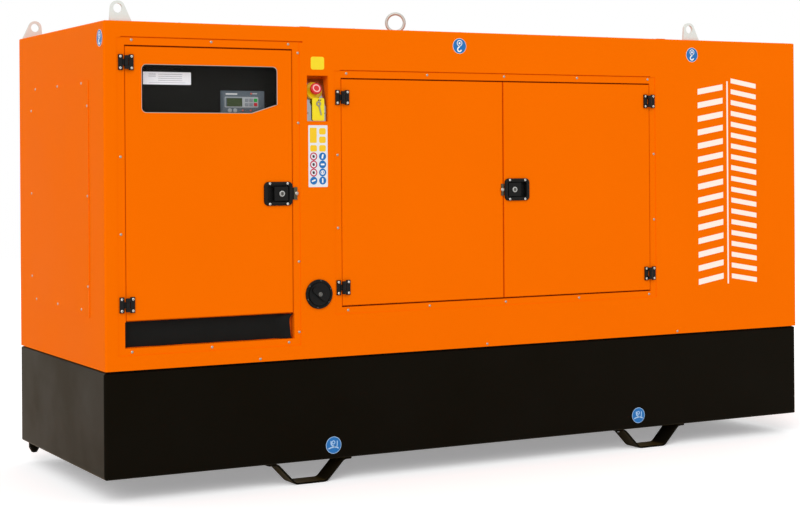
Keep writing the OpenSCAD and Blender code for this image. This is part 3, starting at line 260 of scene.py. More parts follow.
def studio_floor(rows=24, count=64, reach=40):
    """Round floor of rings r = 40 * t ** 2 m at z = 0: white paper whose shadow is kept light, fading
    into the background between 9 and 16 m out."""
    r = reach * np.linspace(0.02, 1, rows) ** 2
    a = np.linspace(0, 2 * np.pi, count, endpoint=False)
    ring = np.stack([np.outer(r, np.cos(a)), np.outer(r, np.sin(a)), np.zeros((rows, count))], -1)
    faces = ring_faces(rows, count)
    mesh = bpy.data.meshes.new("studio_floor")
    mesh.from_pydata(ring.reshape(-1, 3).tolist(), [], [f[::-1] for f in faces] + [list(range(count))])
    mesh.update()
    floor = bpy.data.objects.new("studio_floor", mesh)
    bpy.context.scene.collection.objects.link(floor)
    # Matt white background paper, a little self-lit for the camera so that the shadow stays light
    mat = bpy.data.materials.new("white_background_paper")
    mat.use_nodes = True
    tree = mat.node_tree
    tree.nodes.clear()
    out = add(tree, "ShaderNodeOutputMaterial")
    path = add(tree, "ShaderNodeLightPath")
    matt = add(tree, "ShaderNodeBsdfDiffuse", {"Color": (0.86, 0.86, 0.86, 1)})
    lit = add(tree, "ShaderNodeBsdfDiffuse", {"Color": (0.98, 0.98, 0.98, 1)})
    glow = add(tree, "ShaderNodeEmission", {"Color": (1, 0.99, 1, 1), "Strength": 0.31})
    soft = add(tree, "ShaderNodeAddShader", {0: (lit, 0), 1: (glow, 0)})
    seen = add(tree, "ShaderNodeMixShader", {0: (path, "Is Camera Ray"), 1: (matt, 0), 2: (soft, 0)})
    where = add(tree, "ShaderNodeTexCoord")
    away = add(tree, "ShaderNodeVectorMath", {0: (where, "Object")}, operation="LENGTH")
    fade = add(tree, "ShaderNodeMapRange", {"Value": (away, "Value"), "From Min": 9.0, "From Max": 16.0})
    gone = add(tree, "ShaderNodeBsdfTransparent")
    edge = add(tree, "ShaderNodeMixShader", {0: (fade, "Result"), 1: (seen, 0), 2: (gone, 0)})
    tree.links.new(edge.outputs[0], out.inputs["Surface"])
    mesh.materials.append(mat)


def studio_light():
    """White surroundings at a level where a colour shows as written, and one broad, soft key light
    from the upper left, in front."""
    world = bpy.data.worlds.new("white_studio")
    bpy.context.scene.world = world
    world.use_nodes = True
    tree = world.node_tree
    tree.nodes.clear()
    out = add(tree, "ShaderNodeOutputWorld")
    path = add(tree, "ShaderNodeLightPath")
    fill = add(tree, "ShaderNodeBackground", {"Color": (1, 1, 1, 1), "Strength": 0.78})
    white = add(tree, "ShaderNodeBackground", {"Color": (1, 1, 1, 1), "Strength": 1.0})
    see = add(tree, "ShaderNodeMath", {0: (path, "Is Camera Ray"), 1: (path, "Is Glossy Ray")},
              operation="MAXIMUM")
    see = add(tree, "ShaderNodeMath", {0: (see, 0), 1: (path, "Is Transmission Ray")}, operation="MAXIMUM")
    mixed = add(tree, "ShaderNodeMixShader", {0: (see, 0), 1: (fill, 0), 2: (white, 0)})
    tree.links.new(mixed.outputs[0], out.inputs["Surface"])
    key = bpy.data.lights.new("key_light", "SUN")
    key.energy, key.angle = 1.1, np.radians(35)
    lamp = bpy.data.objects.new("key_light", key)
    lamp.rotation_euler = Vector((-0.5, -0.66, 0.56)).to_track_quat("Z", "Y").to_euler()
    bpy.context.scene.collection.objects.link(lamp)


# ---------------------------------------------------------------------------
# Surfaces: every mesh is (points, faces), points as an array of millimetres
# ---------------------------------------------------------------------------

def ring_faces(rows, count, closed=True):
    """Quads between ring i and ring i + 1, point j and j + 1, facing outward for rings that run
    anticlockwise and rise."""
    i, j = np.meshgrid(np.arange(rows - 1), np.arange(count if closed else count - 1), indexing="ij")
    k = (j + 1) % count
    quads = np.stack([i * count + j, i * count + k, (i + 1) * count + k, (i + 1) * count + j], -1)
    return quads.reshape(-1, 4).tolist()


def loft(rings, caps=True):
    """Skin over a stack of closed rings (rows, count, 3), with a flat cap at each end."""
    rows, count = rings.shape[:2]
    faces = ring_faces(rows, count)
    if caps:
        faces += [list(range(count))[::-1], list(range((rows - 1) * count, rows * count))]
    return rings.reshape(-1, 3), faces


def turned(outline, count):
    """Circles of a turned form: radius r and height h at angle a give (r cos a, r sin a, h)."""
    r, h = np.array(outline, float).T
    a = np.linspace(0, 2 * np.pi, count, endpoint=False)
    return np.stack([np.outer(r, np.cos(a)), np.outer(r, np.sin(a)), np.repeat(h[:, None], count, 1)], -1)


def lathe(profile, count=24):
    """Turned form of a profile of (r, h) points, from its foot up and in to its face."""
    return loft(turned(profile, count))


def hoop(outline, count=28):
    """Ring turned from a closed outline of (r, h) points, outer wall upward first: the circles are
    joined in turn, and the last to the first."""
    rings = turned(outline, count)
    faces = np.array(ring_faces(len(rings) + 1, count)) % (len(rings) * count)
    return rings.reshape(-1, 3), faces.tolist()


def rounded(width, height, radius, steps=5):
    """Rectangle with quarter-circle corners, anticlockwise: corner centre + radius (cos a, sin a),
    a going on by a quarter turn from corner to corner."""
    a = np.linspace(0, np.pi / 2, steps + 1) + np.arange(4)[:, None] * np.pi / 2
    cx = np.array([1, -1, -1, 1])[:, None] * (width / 2 - radius)
    cy = np.array([1, 1, -1, -1])[:, None] * (height / 2 - radius)
    return np.stack([cx + radius * np.cos(a), cy + radius * np.sin(a)], -1).reshape(-1, 2)


def plate(width, height, radius, levels, steps=5):
    """Plate whose rounded outline is drawn in by an inset at each height: levels are (inset, height)."""
    rings = [np.column_stack([rounded(width - 2 * i, height - 2 * i, max(radius - i, 0.2), steps),
                              np.full(4 * (steps + 1), h)]) for i, h in levels]
    return loft(np.array(rings))


def slab(width, height, radius, thick):
    """Thin plate with a broken front edge: inset 0 up to thick - edge, then inset edge at thick."""
    edge = min(0.4, thick * 0.6)
    return plate(width, height, radius, [(0, 0), (0, thick - edge), (edge, thick)])


def extrude(outline, thick):
    """Flat form of a closed anticlockwise outline, its front edge broken by a third of a millimetre."""
    flat = np.array(outline, float)
    middle = flat.mean(0)
    shrunk = middle + (flat - middle) * (1 - 0.3 / max(np.abs(flat - middle).max(), 1))
    rings = [np.column_stack([flat, np.zeros(len(flat))]),
             np.column_stack([flat, np.full(len(flat), thick * 0.6)]),
             np.column_stack([shrunk, np.full(len(flat), thick)])]
    return loft(np.array(rings))


def smooth(points, per=8):
    """Path through the points: between two of them the Catmull-Rom cubic of their neighbours."""
    p = np.array(points, float)
    p = np.vstack([2 * p[0] - p[1], p, 2 * p[-1] - p[-2]])
    t = np.linspace(0, 1, per, endpoint=False)[None, :, None]
    a, b, c, d = (p[i:len(p) - 3 + i][:, None, :] for i in range(4))
    path = 0.5 * (2 * b + (c - a) * t + (2 * a - 5 * b + 4 * c - d) * t ** 2
                  + (3 * b - a - 3 * c + d) * t ** 3)
    return np.vstack([path.reshape(-1, 3), p[-2]])


def sweep(outline, path, up=(0, 0, 1), closed=False):
    """Outline (u, v) carried along a path: path + u side + v top, where side = travel x up and
    top = side x travel at each point."""
    path = np.array(path, float)
    travel = np.gradient(path, axis=0)
    if closed:
        travel = np.roll(path, -1, 0) - np.roll(path, 1, 0)
    travel /= np.linalg.norm(travel, axis=1)[:, None]
    side = np.cross(travel, np.broadcast_to(np.array(up, float), travel.shape))
    side /= np.linalg.norm(side, axis=1)[:, None]
    top = np.cross(side, travel)
    o = np.array(outline, float)
    rings = (path[:, None] + (o[None, :, :1] * side[:, None] + o[None, :, 1:] * top[:, None]))[:, ::-1]
    if not closed:
        return loft(rings)
    rings = np.vstack([rings, rings[:1]])
    count = rings.shape[1]
    faces = np.array(ring_faces(len(rings), count)) % ((len(rings) - 1) * count)
    return rings[:-1].reshape(-1, 3), faces.tolist()


def circle(radius, count=10):
    """Closed ring: radius (cos a, sin a)."""
    a = np.linspace(0, 2 * np.pi, count, endpoint=False)
    return np.column_stack([radius * np.cos(a), radius * np.sin(a)])


def tube(points, radius, count=10, up=(0, 0, 1), per=8):
    """Round tube along the smooth path through the points."""
    return sweep(circle(radius, count), smooth(points, per), up)


def rim_of(index):
    """Points round the edge of a grid of point numbers, in order."""
    return np.concatenate([index[0, :-1], index[:-1, -1], index[-1, :0:-1], index[:0:-1, 0]])


def join(*meshes):
    """One mesh out of several."""
    points, faces, start = [], [], 0
    for p, f in meshes:
        points.append(p)
        faces += [[i + start for i in face] for face in f]
        start += len(p)
    return np.vstack(points), faces


def shift(mesh, x=0.0, y=0.0, z=0.0, spin=0.0):
    """Mesh turned by spin degrees about its own upright axis, then moved."""
    c, s = np.cos(np.radians(spin)), np.sin(np.radians(spin))
    turn = np.array([[c, -s, 0], [s, c, 0], [0, 0, 1]])
    return mesh[0] @ turn.T + np.array([x, y, z]), mesh[1]


# Each side of the machine as the three directions of a mesh that lies on it: along, up and out
FRONT = np.array([[1, 0, 0], [0, 0, 1], [0, -1, 0]], float)
REAR = np.array([[-1, 0, 0], [0, 0, 1], [0, 1, 0]], float)
LEFT = np.array([[0, -1, 0], [0, 0, 1], [-1, 0, 0]], float)
RIGHT = np.array([[0, 1, 0], [0, 0, 1], [1, 0, 0]], float)
TOP = np.eye(3)
UNDER = np.array([[1, 0, 0], [0, -1, 0], [0, 0, -1]], float)


def mm(node, end, axis):
    """One bound of a node in millimetres: end 0 is its low corner, end 1 its high one."""
    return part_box(node)[end][axis] * 1000


def mid(node, axis):
    """Middle of a node in millimetres."""
    return (mm(node, 0, axis) + mm(node, 1, axis)) / 2


canopy_left, canopy_right = mm("left_end_wall", 0, 0), mm("right_end_wall", 1, 0)
skin_y, rear_y = mm("control_door", 0, 1), mm("rear_wall", 1, 1)
skirt_z, roof_z = mm("left_end_wall", 0, 2), mm("roof", 1, 2)


def front_at(x, z, out=0.0, face=skin_y):
    """Places on the service side: x from the canopy's left end, z from its lower edge, out from its
    skin or from another face."""
    x, z = np.broadcast_arrays(np.asarray(x, float), np.asarray(z, float))
    return np.stack([canopy_left + x, np.full(x.shape, face - out), skirt_z + z], -1).reshape(-1, 3)


def copies(mesh, places, side=FRONT):
    """The mesh repeated at each place on a side of the machine."""
    points, faces = mesh
    spots = np.atleast_2d(places)
    every = (points @ side)[None] + spots[:, None]
    steps = (np.arange(len(spots)) * len(points)).tolist()
    return every.reshape(-1, 3), [[i + s for i in face] for s in steps for face in faces]


def piece(name, mesh, material, body="genset", slot=None, soft=False, replaces=()):
    """Puts a mesh into the scene in metres, with its finish, and lets it ride on its body."""
    points, faces = mesh
    data = bpy.data.meshes.new(name)
    data.from_pydata((points / 1000).tolist(), [], faces)
    data.update()
    data.materials.append(material)
    if soft:
        data.shade_smooth()
    obj = bpy.data.objects.new(name, data)
    bpy.context.scene.collection.objects.link(obj)
    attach(obj, body)
    if replaces:
        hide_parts(*replaces)
    return obj


def edged(*args, angle=35, **how):
    """A piece shaded smooth, with edges kept where two faces meet at more than the angle."""
    obj = piece(*args, soft=True, **how)
    obj.data.set_sharp_from_angle(angle=np.radians(angle))
    return obj


studio_floor()
studio_light()


# ---------------------------------------------------------------------------
# Fasteners
# ---------------------------------------------------------------------------

# Blind rivet: a domed flange with the pulled mandrel sunk in its middle
rivet = lathe([(5.6, 0), (5.5, 0.5), (4.9, 1.3), (3.6, 2.0), (2.4, 2.3), (2.0, 1.6), (1.4, 1.9)], 14)
# Round-head screw with a hexagon socket
socket_screw = join(lathe([(5.0, 0), (5.0, 1.2), (4.5, 2.4), (3.3, 3.0), (2.2, 3.1)], 18),
                    lathe([(2.2, 3.1), (2.0, 1.9), (0.4, 1.8)], 6))
# Flanged hexagon screw
hex_screw = join(lathe([(8.5, 0), (8.5, 0.8), (7.2, 1.6)], 18),
                 lathe([(6.2, 1.4), (6.2, 4.2), (5.2, 5.0)], 6))


def rivet_rows(rows, out=0.0):
    """Places of rivets on the service side, from rows in which x or z is a list."""
    return np.vstack([front_at(x, z, out) for x, z in rows])


control_frame = [([111, 438, 768], 1260), (810, [1226, 946, 391, 109]), ([107, 434, 764], 70),
                 (65, [814, 519])]
engine_frame = [([1027, 1405, 1782, 2158, 2540], 1148), (985, [817, 521]), (2571, [814, 520]),
                ([1029, 1410, 1784, 2162, 2541], 186)]
frame_rivets = rivet_rows(control_frame + engine_frame, -2)
edged("frame_rivets", copies(rivet, frame_rivets), stainless, slot="zinc")
skirt = front_at([638, 1689, 2697], 11)
edged("skirt_rivets", join(copies(rivet, skirt), copies(rivet, skirt * [1, -1, 1], REAR)), stainless,
      slot="zinc")


def end_cover_screws():
    """Screws around each end cover: three along the top and the bottom, three down each side."""
    low, high = mm("end_covers", 0, 2), mm("end_covers", 1, 2)
    y = np.array([-303, 6, 312, -290, 16, 312, -372, -372, -372, 374, 374, 374])
    z = np.array([high - 9] * 3 + [low + 26] * 3 + [low + 120, low + 471, low + 821] * 2)
    spots = np.column_stack([np.zeros(12), y, z])
    return join(copies(rivet, spots + [mm("end_covers", 0, 0), 0, 0], LEFT),
                copies(rivet, spots + [mm("end_covers", 1, 0), 0, 0], RIGHT))


edged("end_cover_screws", end_cover_screws(), stainless, slot="zinc")


# ---------------------------------------------------------------------------
# Hinges: screws at the corners of both leaves
# ---------------------------------------------------------------------------

def hinge_screws(node, x, out, sign=1):
    """Two screws, 22 mm above and below the middle of each of the two hinges of a node, at x and out of
    the skin; sign is -1 on the rear side."""
    low, high = mm(node, 0, 2), mm(node, 1, 2)
    z = np.array([low + 8, low + 52, high - 52, high - 8])
    return np.column_stack([np.full(4, x), np.full(4, sign * (skin_y - out)), z])


# Each door's hinges, and the way from their pin line to the door: 1 to the right, -1 to the left
hinged = {"control_door": ("control_door_hinges", 1), "engine_door_left": ("engine_left_hinges", 1),
          "engine_door_right": ("engine_right_hinges", -1)}
barrel, away, on_frame, on_door = 8, 22, 4, 6
pins = {door: mm(node, 0 if hand > 0 else 1, 0) + hand * barrel for door, (node, hand) in hinged.items()}
frame_screws = [hinge_screws(node, pins[door] - hand * away, on_frame)
                for door, (node, hand) in hinged.items()]
edged("hinge_frame_screws", copies(socket_screw, np.vstack(frame_screws)), zinc_flake, slot="zinc")
for door, (node, hand) in hinged.items():
    leaf_screws = hinge_screws(node, pins[door] + hand * away, on_door)
    edged(node + "_screws", copies(socket_screw, leaf_screws), zinc_flake, door, "zinc")
rear_screws = [hinge_screws("rear_hinges", pins[door] + hinged[door][1] * step, out, -1)
               for door in ("engine_door_left", "engine_door_right")
               for step, out in ((-away, on_frame), (away, on_door))]
edged("rear_hinge_screws", copies(socket_screw, np.vstack(rear_screws), REAR), zinc_flake, slot="zinc")


# ---------------------------------------------------------------------------
# Latches: rolled rim, rim screws and the lock cylinder in the paddle
# ---------------------------------------------------------------------------

def rolled_rim(width, height, radius):
    """Rim of a latch housing: its rounded outline drawn in by s and raised by
    7.6 sin(pi (s + 0.5) / 15.8) ** 0.45, so it rolls from the door over the top down into the dish."""
    s = np.linspace(0, 14.7, 13)
    rise = 7.6 * np.sin(np.pi * (s + 0.5) / 15.8) ** 0.45
    s, rise = np.hstack([0, s, 14.7]), np.hstack([0, rise, -5])
    rings = [np.column_stack([rounded(width - 2 * i, height - 2 * i, max(radius - i, 6.3), 6),
                              np.full(28, h)]) for i, h in zip(s, rise)]
    return loft(np.array(rings), caps=False)


# Chromed collar and plug of a lock, turned; the keyway, a slot with a side notch, is a thin black patch on
# the plug's face: painted shade where the opening would be
lock_ring = hoop([(7.4, 0), (12.2, 0), (12.2, 3.4), (11.4, 4.6), (9.8, 5.2), (8.0, 5.1), (7.4, 4.2)], 28)
lock_plug = lathe([(7.4, 2.0), (7.4, 4.3), (6.7, 4.9), (0.8, 4.9)], 24)
keyway_shade_patch = join(shift(slab(1.9, 8.4, 0.8, 0.5), z=4.6),
                 shift(slab(3.4, 2.4, 0.9, 0.5), x=0.7, y=-1.0, z=4.6))
latch_rim = rolled_rim(124, 95, 18.5)
latch_corners = np.array([[x * 38.5, -6.9, z * 40.6] for x in (-1, 1) for z in (-1, 1)])
for name, door, hand in (("control", "control_door", 1), ("engine", "engine_door_right", -1)):
    housing, paddle = name + "_latch", name + "_paddle"
    at = np.array([mid(housing, 0), skin_y, mid(housing, 2)])
    lock = np.array([at[0] + hand * 14, mm(paddle, 0, 1) + 3.2, at[2]])
    edged(housing + "_rim", copies(latch_rim, at), polyamide, door, "black_polymer", angle=50)
    edged(housing + "_screws", copies(socket_screw, at + latch_corners), zinc_flake, door, "zinc")
    edged(name + "_lock", copies(lock_ring, lock), chrome, paddle, "zinc")
    edged(name + "_lock_plug", copies(lock_plug, lock), lock_nickel, paddle, "zinc")
    # Keyway: a black patch, painted shade of the slot
    piece(name + "_keyway_shade", copies(keyway_shade_patch, lock), polyamide, paddle, "black_polymer")

rear_latch = np.array([mid("rear_latches", 0), rear_y, mid("rear_latches", 2)])
rear_lock = rear_latch + [-14, 8, 0]
rear_paddle = shift(plate(60, 56, 4, [(0, 5.8), (0, 8.2), (1, 9)]), x=12.5)
edged("rear_latch_rim", copies(latch_rim, rear_latch, REAR), polyamide, slot="black_polymer", angle=50)
edged("rear_latch_paddle", copies(rear_paddle, rear_latch, REAR), polyamide, slot="black_polymer")
edged("rear_latch_lock", copies(lock_ring, rear_lock, REAR), chrome, slot="zinc")
edged("rear_latch_lock_plug", copies(lock_plug, rear_lock, REAR), lock_nickel, slot="zinc")
edged("rear_latch_screws", copies(socket_screw, rear_latch + latch_corners * [1, -1, 1], REAR), zinc_flake,
      slot="zinc")

# Round-headed screw in each keeper, and a rubber buffer beside it
keeper_screw = lathe([(8.6, 0), (8.6, 1.0), (7.6, 3.0), (5.2, 4.6), (2.2, 5.2)], 22)
keeper_buffer = slab(5.8, 48, 0.8, 3.2)
for name, body, inset, end, offset in (("control_keeper", "genset", 3.5, 0, -2.4),
                                       ("engine_keeper", "engine_door_left", 5.0, 1, 2.4)):
    spot = np.array([mm(name, 1, 0) - inset, mm(name, 0, 1), mid(name, 2)])
    edged(name + "_screw", copies(keeper_screw, spot), stainless, body, "zinc")
    beside = [mm(name, end, 0) + offset, skin_y + 1.4, spot[2]]
    edged(name + "_buffer", copies(keeper_buffer, beside), epdm, body, "rubber")


# ---------------------------------------------------------------------------
# Window: bead around the pane, label and cover screws on the cabinet behind it
# ---------------------------------------------------------------------------

def window_line(inset):
    """Outline of the window opening drawn in by the inset: three quarter-circle corners, and the
    lower corner at the latch cut off from 111 mm along the sill to 35 mm up the side."""
    left, low = mm("window_pane", 0, 0) + 12 + inset, mm("window_pane", 0, 2) + 12 + inset
    right, high = mm("window_pane", 1, 0) - 12 - inset, mm("window_pane", 1, 2) - 12 - inset
    r = 20 - inset
    a = np.linspace(0, np.pi / 2, 7)
    corners = [np.column_stack([cx + r * np.cos(a + turn), cz + r * np.sin(a + turn)])
               for cx, cz, turn in ((right - r, high - r, 0), (left + r, high - r, np.pi / 2),
                                    (left + r, low + r, np.pi))]
    cut = np.linspace([right - 111 + 0.2 * inset, low], [right, low + 35], 8)
    return np.vstack([*corners, cut])


# Pale silicone bead: translucent grey rubber that catches the light as a thin bright line.
silicone = finish("pale_silicone_bead", "#B9B4A8", (0.4, 0.05), (0.08, 40), (5, 0.05))
line = window_line(0.9)
path = np.column_stack([line[:, 0], np.full(len(line), skin_y + 1.7), line[:, 1]])
piece("window_bead", sweep(circle(1.5, 8), path, (0, -1, 0), closed=True), silicone, "control_door",
      "black_polymer", soft=True)

cabinet_y = mm("control_cabinet", 0, 1)


def cabinet_at(x, z, out=0.0):
    """Places on the cabinet's cover plate."""
    return front_at(x, z, out, cabinet_y)


# Films of the signs, and the label's, which is given a glow of its own, painted light, so that it reads
# bright in the shade.
white_vinyl = vinyl("white_vinyl_film", "#F6F6F4", (0.015, 60))
blue_vinyl = vinyl("blue_vinyl_film", "#0B6CB4", (0.05, 40), 0.36)
yellow_vinyl = vinyl("yellow_vinyl_film", "#F5C710", (0.04, 40))
self_lit_label_film = glowing(vinyl("self_lit_white_film", "#FAFAFC", (0.012, 60), 0.4), "#F4F6FF", 0.26)
pale_ink = screen_ink("pale_grey_screen_print", "#C9CCD0", 0.5, (0.05, 8))
piece("cabinet_label", copies(slab(198, 49, 2, 0.5), cabinet_at(277.5, 1118.5)), self_lit_label_film,
      slot="cabinet_black")
label_lines = cabinet_at([216, 290, 216, 290, 290, 290, 290], [1134, 1134, 1126, 1126, 1118, 1110, 1102],
                         0.5)
label_print = join(copies(slab(30, 2.4, 1, 0.2), label_lines[[0, 2]]),
                   copies(slab(100, 1.8, 0.8, 0.2), label_lines[[1, 3, 4, 5]]),
                   copies(slab(150, 1.4, 0.6, 0.2), label_lines[6] - [12, 0, 0]))
piece("cabinet_label_lines", label_print, pale_ink, slot="cabinet_black")
cover_x = [140, 290, 435, 580, 730]
cover_screws = cabinet_at(cover_x * 2 + [140, 730], [926] * 5 + [1204] * 5 + [1065] * 2)
edged("cabinet_screws", copies(socket_screw, cover_screws), hinge_cast, slot="cabinet_black")


# ---------------------------------------------------------------------------
# Controller: screen, frame, keys and lamps
# ---------------------------------------------------------------------------

# Liquid-crystal screen behind its window: dull olive green with a slight glow.
lcd = glowing(finish("backlit_lcd_film", "#2B3D0C", (0.24, 0.03), (0.06, 30)), "#3E5412", 0.06)
# Soft silicone keys and the pale membrane around them.
key_grey, key_green, key_red = (
    finish(hue + "_silicone_key", code, (rough, 0.05), (0.06, 12), specular=0.4)
    for hue, code, rough in (("grey", "#8D949A", 0.5), ("green", "#19A83C", 0.45), ("red", "#C9202B", 0.45)))
membrane = finish("pale_polyester_membrane", "#B4BABD", (0.42, 0.05), (0.04, 20), specular=0.4)

panel_x, panel_z = mm("controller", 0, 0) - canopy_left, mm("controller", 0, 2) - skirt_z
panel_y = mm("controller", 0, 1)


def panel_at(x, z, out=0.0):
    """Places on the controller's raised front, from its own lower left corner."""
    x, z = np.asarray(x, float), np.asarray(z, float)
    return front_at(panel_x - 6 + x, panel_z + 2.5 + z, out, panel_y)


piece("controller_screen", copies(slab(73, 36, 1, 0.8), panel_at(60, 44, -2)), lcd, slot="controller_grey")


def membrane_frame():
    """Membrane around screen and keys: the flat band between an outer and an inner rounded outline."""
    outer, inner = rounded(144, 42, 4, 5), rounded(72, 35, 2.5, 5) + [-33, 0]
    rings = [np.column_stack([outer, np.full(24, h)]) for h in (0, 0.7)] + \
            [np.column_stack([inner, np.full(24, h)]) for h in (0.7, -0.4)]
    return loft(np.array(rings), caps=False)


piece("controller_membrane", copies(membrane_frame(), panel_at(93, 44)), membrane, slot="controller_grey")
key = plate(15, 13, 2.5, [(0, 0), (0, 1.2), (0.6, 1.9), (2.0, 2.2)], 4)
piece("controller_keys", copies(key, panel_at([115, 134, 115, 134], [52, 52, 35, 35], 0.6)), key_grey,
      slot="controller_grey")
piece("controller_start_key", copies(key, panel_at(153, 52, 0.6)), key_green, slot="controller_grey")
piece("controller_stop_key", copies(key, panel_at(153, 35, 0.6)), key_red, slot="controller_grey")
ring_key = lathe([(8.5, 0), (8.5, 1.6), (7.6, 2.2), (6.6, 2.2), (6.2, 1.4), (5.6, 1.4), (5.2, 2.0),
                  (0.8, 2.2)], 24)
edged("controller_round_keys", copies(ring_key, panel_at([42, 65], 11)), membrane, slot="controller_grey")
lamp = lathe([(3.6, 0), (3.6, 1.0), (2.6, 2.2), (0.8, 2.7)], 14)
# Lamp lenses: clear red styrene, paler than the keys.
lens_red = finish("red_clear_styrene", "#EE6A5C", (0.25, 0.05), (0.06, 6))
edged("controller_lamps", copies(lamp, panel_at([98, 132, 134], [11, 11, 78])), lens_red,
      slot="controller_grey")
piece("controller_print", join(copies(slab(20, 2.2, 0.8, 0.2), panel_at(150, 78)),
                               copies(slab(50, 4.6, 1.0, 0.2), panel_at(50, 76))), white_vinyl,
      slot="controller_grey")


# ---------------------------------------------------------------------------
# Films: plain plates, discs and stripes
# ---------------------------------------------------------------------------

def ribbon(points, width, base=0.5, thick=0.35):
    """Flat strip along a smooth path in the film's own plane, lying at the height base."""
    path = np.column_stack([np.array(points, float), np.full(len(points), base)])
    strip = [(-width / 2, 0), (width / 2, 0), (width / 2, thick), (-width / 2, thick)]
    return sweep(strip, smooth(path, 6))


def band(outer, inner, base=0.0, thick=0.2, count=28):
    """Flat ring between two radii."""
    return hoop([(inner, base), (outer, base), (outer, base + thick), (inner, base + thick)], count)


# Lifting and lashing points: pale rim, blue disc and a simple figure drawn as bent strips
lifting_rim = lathe([(32.6, 0), (32.6, 0.25), (32.2, 0.35)], 40)
lifting_face = lathe([(31.4, 0.2), (31.4, 0.5), (31.1, 0.6)], 40)
lashing_rim = lathe([(34.5, 0), (34.5, 0.25), (34.1, 0.35)], 40)
lashing_face = lathe([(32.4, 0.2), (32.4, 0.5), (32.1, 0.6)], 40)
sky_ink = screen_ink("pale_blue_screen_print", "#A6C9EC", 0.4, (0.04, 10), 0.4)
hook = join(shift(join(band(13, 10, 0.5, 0.35), lathe([(4.6, 0.5), (4.6, 0.85)], 16)), y=12),
            ribbon([(0, 3), (0, -2), (-7, -8), (-9.5, -15), (-5, -22), (3, -22), (9, -16)], 5.5))
lashing = join(ribbon([(-24, -14), (-8, -9), (12, -9), (22, -14)], 5),
               ribbon([(-12, 17), (-10, 2), (6, -8)], 5), ribbon([(16, 17), (16, 4), (15, -6)], 4),
               shift(band(8, 4.5, 0.5, 0.35), x=-1, y=11))
lift_front = front_at([1561, 2789], [1273, 1264])
end_lift = np.array([[0, -518, skirt_z + 1267]])
lift_sides = [(lift_front, FRONT), (lift_front * [1, -1, 1], REAR), (end_lift + [canopy_left, 0, 0], LEFT),
              (end_lift + [canopy_right, 0, 0], RIGHT)]
base_y, base_low = mm("base_tank", 0, 1), mm("base_tank", 0, 2)
lash_front = np.array([[canopy_left + x, base_y, base_low + z] for x, z in ((962, 56), (2482, 59.5))])
lash_sides = [(lash_front, FRONT), (lash_front * [1, -1, 1], REAR)]
for name, rim, face, mark, ink, sides, slot in (
        ("lifting_disc", lifting_rim, lifting_face, hook, white_vinyl, lift_sides, "orange_paint"),
        ("lashing_disc", lashing_rim, lashing_face, lashing, sky_ink, lash_sides, "black_paint")):
    for part, mesh, film in (("_rims", rim, ink), ("_faces", face, blue_vinyl), ("_marks", mark, ink)):
        piece(name + part, join(*[copies(mesh, spots, side) for spots, side in sides]), film, slot=slot)

# Yellow blank above the stop recess
lemon_vinyl = vinyl("lemon_vinyl_film", "#F6DA12", (0.04, 40))
piece("yellow_blank", copies(slab(60, 52, 9, 0.4), front_at(896.5, 1187)), lemon_vinyl, slot="orange_paint")

# White strip under it: two columns of plain cells and dots, without figures
maroon_ink = screen_ink("maroon_screen_print", "#BE1C42", 0.45, (0.08, 10))
strip_vinyl = vinyl("cool_white_vinyl_film", "#E2E4E9", (0.015, 60))
dark_ink = screen_ink("dark_grey_screen_print", "#3A3436", 0.5, (0.1, 8))
strip_x, strip_z = 896.5, 812.5
piece("strip_film", copies(slab(86, 249, 3, 0.35), front_at(strip_x, strip_z)), strip_vinyl,
      slot="orange_paint")


def strip_at(x, z):
    """Places on the strip from its middle, on top of the film."""
    return front_at(strip_x + np.asarray(x, float), strip_z + np.asarray(z, float), 0.3)


dot = lathe([(16, 0), (16, 0.2), (15.7, 0.25)], 24)
rows = np.array([-1, -33.5, -66])
dots = strip_at([20, 20, 20, 20, -20], [*rows, -98.5, -98.5])
piece("strip_cells", join(copies(slab(31, 61, 3, 0.25), strip_at(-21, 84)),
                          copies(slab(30, 26, 7, 0.25), strip_at([20, 20, 20, -20], [100, 66, 31.5, 31.5]))),
      yellow_vinyl, slot="orange_paint")
piece("strip_rings", copies(band(16.2, 11.5, 0, 0.25), strip_at(-20, rows)), maroon_ink, slot="orange_paint")
piece("strip_ring_marks", copies(shift(slab(10, 12, 4, 0.25), spin=20), strip_at(-20, rows)), dark_ink,
      slot="orange_paint")
piece("strip_dots", copies(dot, dots), blue_vinyl, slot="orange_paint")
# A plain pale bar, patch or ring on each dot
bars = [shift(slab(w, h, min(w, h) * 0.4, 0.2), z=0.2, spin=turn) for w, h, turn in
        ((7, 18, -12), (17, 7, 0), (5, 14, 8), (6, 19, 0), (18, 6, 20))]
piece("strip_dot_marks", join(*[copies(bar, spot) for bar, spot in zip(bars, dots)],
                              copies(band(9, 6.2, 0.2, 0.2), dots[2])), white_vinyl, slot="orange_paint")


def stripe_column(x0, x1, pitch, thick, lean, z0=215, z1=1147):
    """Column of leaning bars between two heights: corners (x0, z), (x1, z + lean), each bar thick high."""
    bar = loft(np.array([[(x0, 0, h), (x1, lean, h), (x1, lean + thick, h), (x0, thick, h)]
                         for h in (0, 0.35)]))
    z = np.arange(z0, z1 - lean - thick + 1, pitch)
    return copies(bar, front_at(np.zeros(len(z)), z))


# Trim on the right-hand panel: two columns of leaning white bars either side of a thin upright line
warm_white_vinyl = vinyl("warm_white_vinyl_film", "#FFEFE2", (0.015, 60), 0.4)
piece("panel_stripes", join(
    stripe_column(2820, 2964, 62, 26, 24), stripe_column(3012, 3160, 50, 22, -24, 239, 1156),
    copies(slab(8, 932, 1, 0.35), front_at(2991, 681))), warm_white_vinyl, slot="orange_paint")


# ---------------------------------------------------------------------------
# Emergency stop: moulded button, collar lip, key tag and screws
# ---------------------------------------------------------------------------

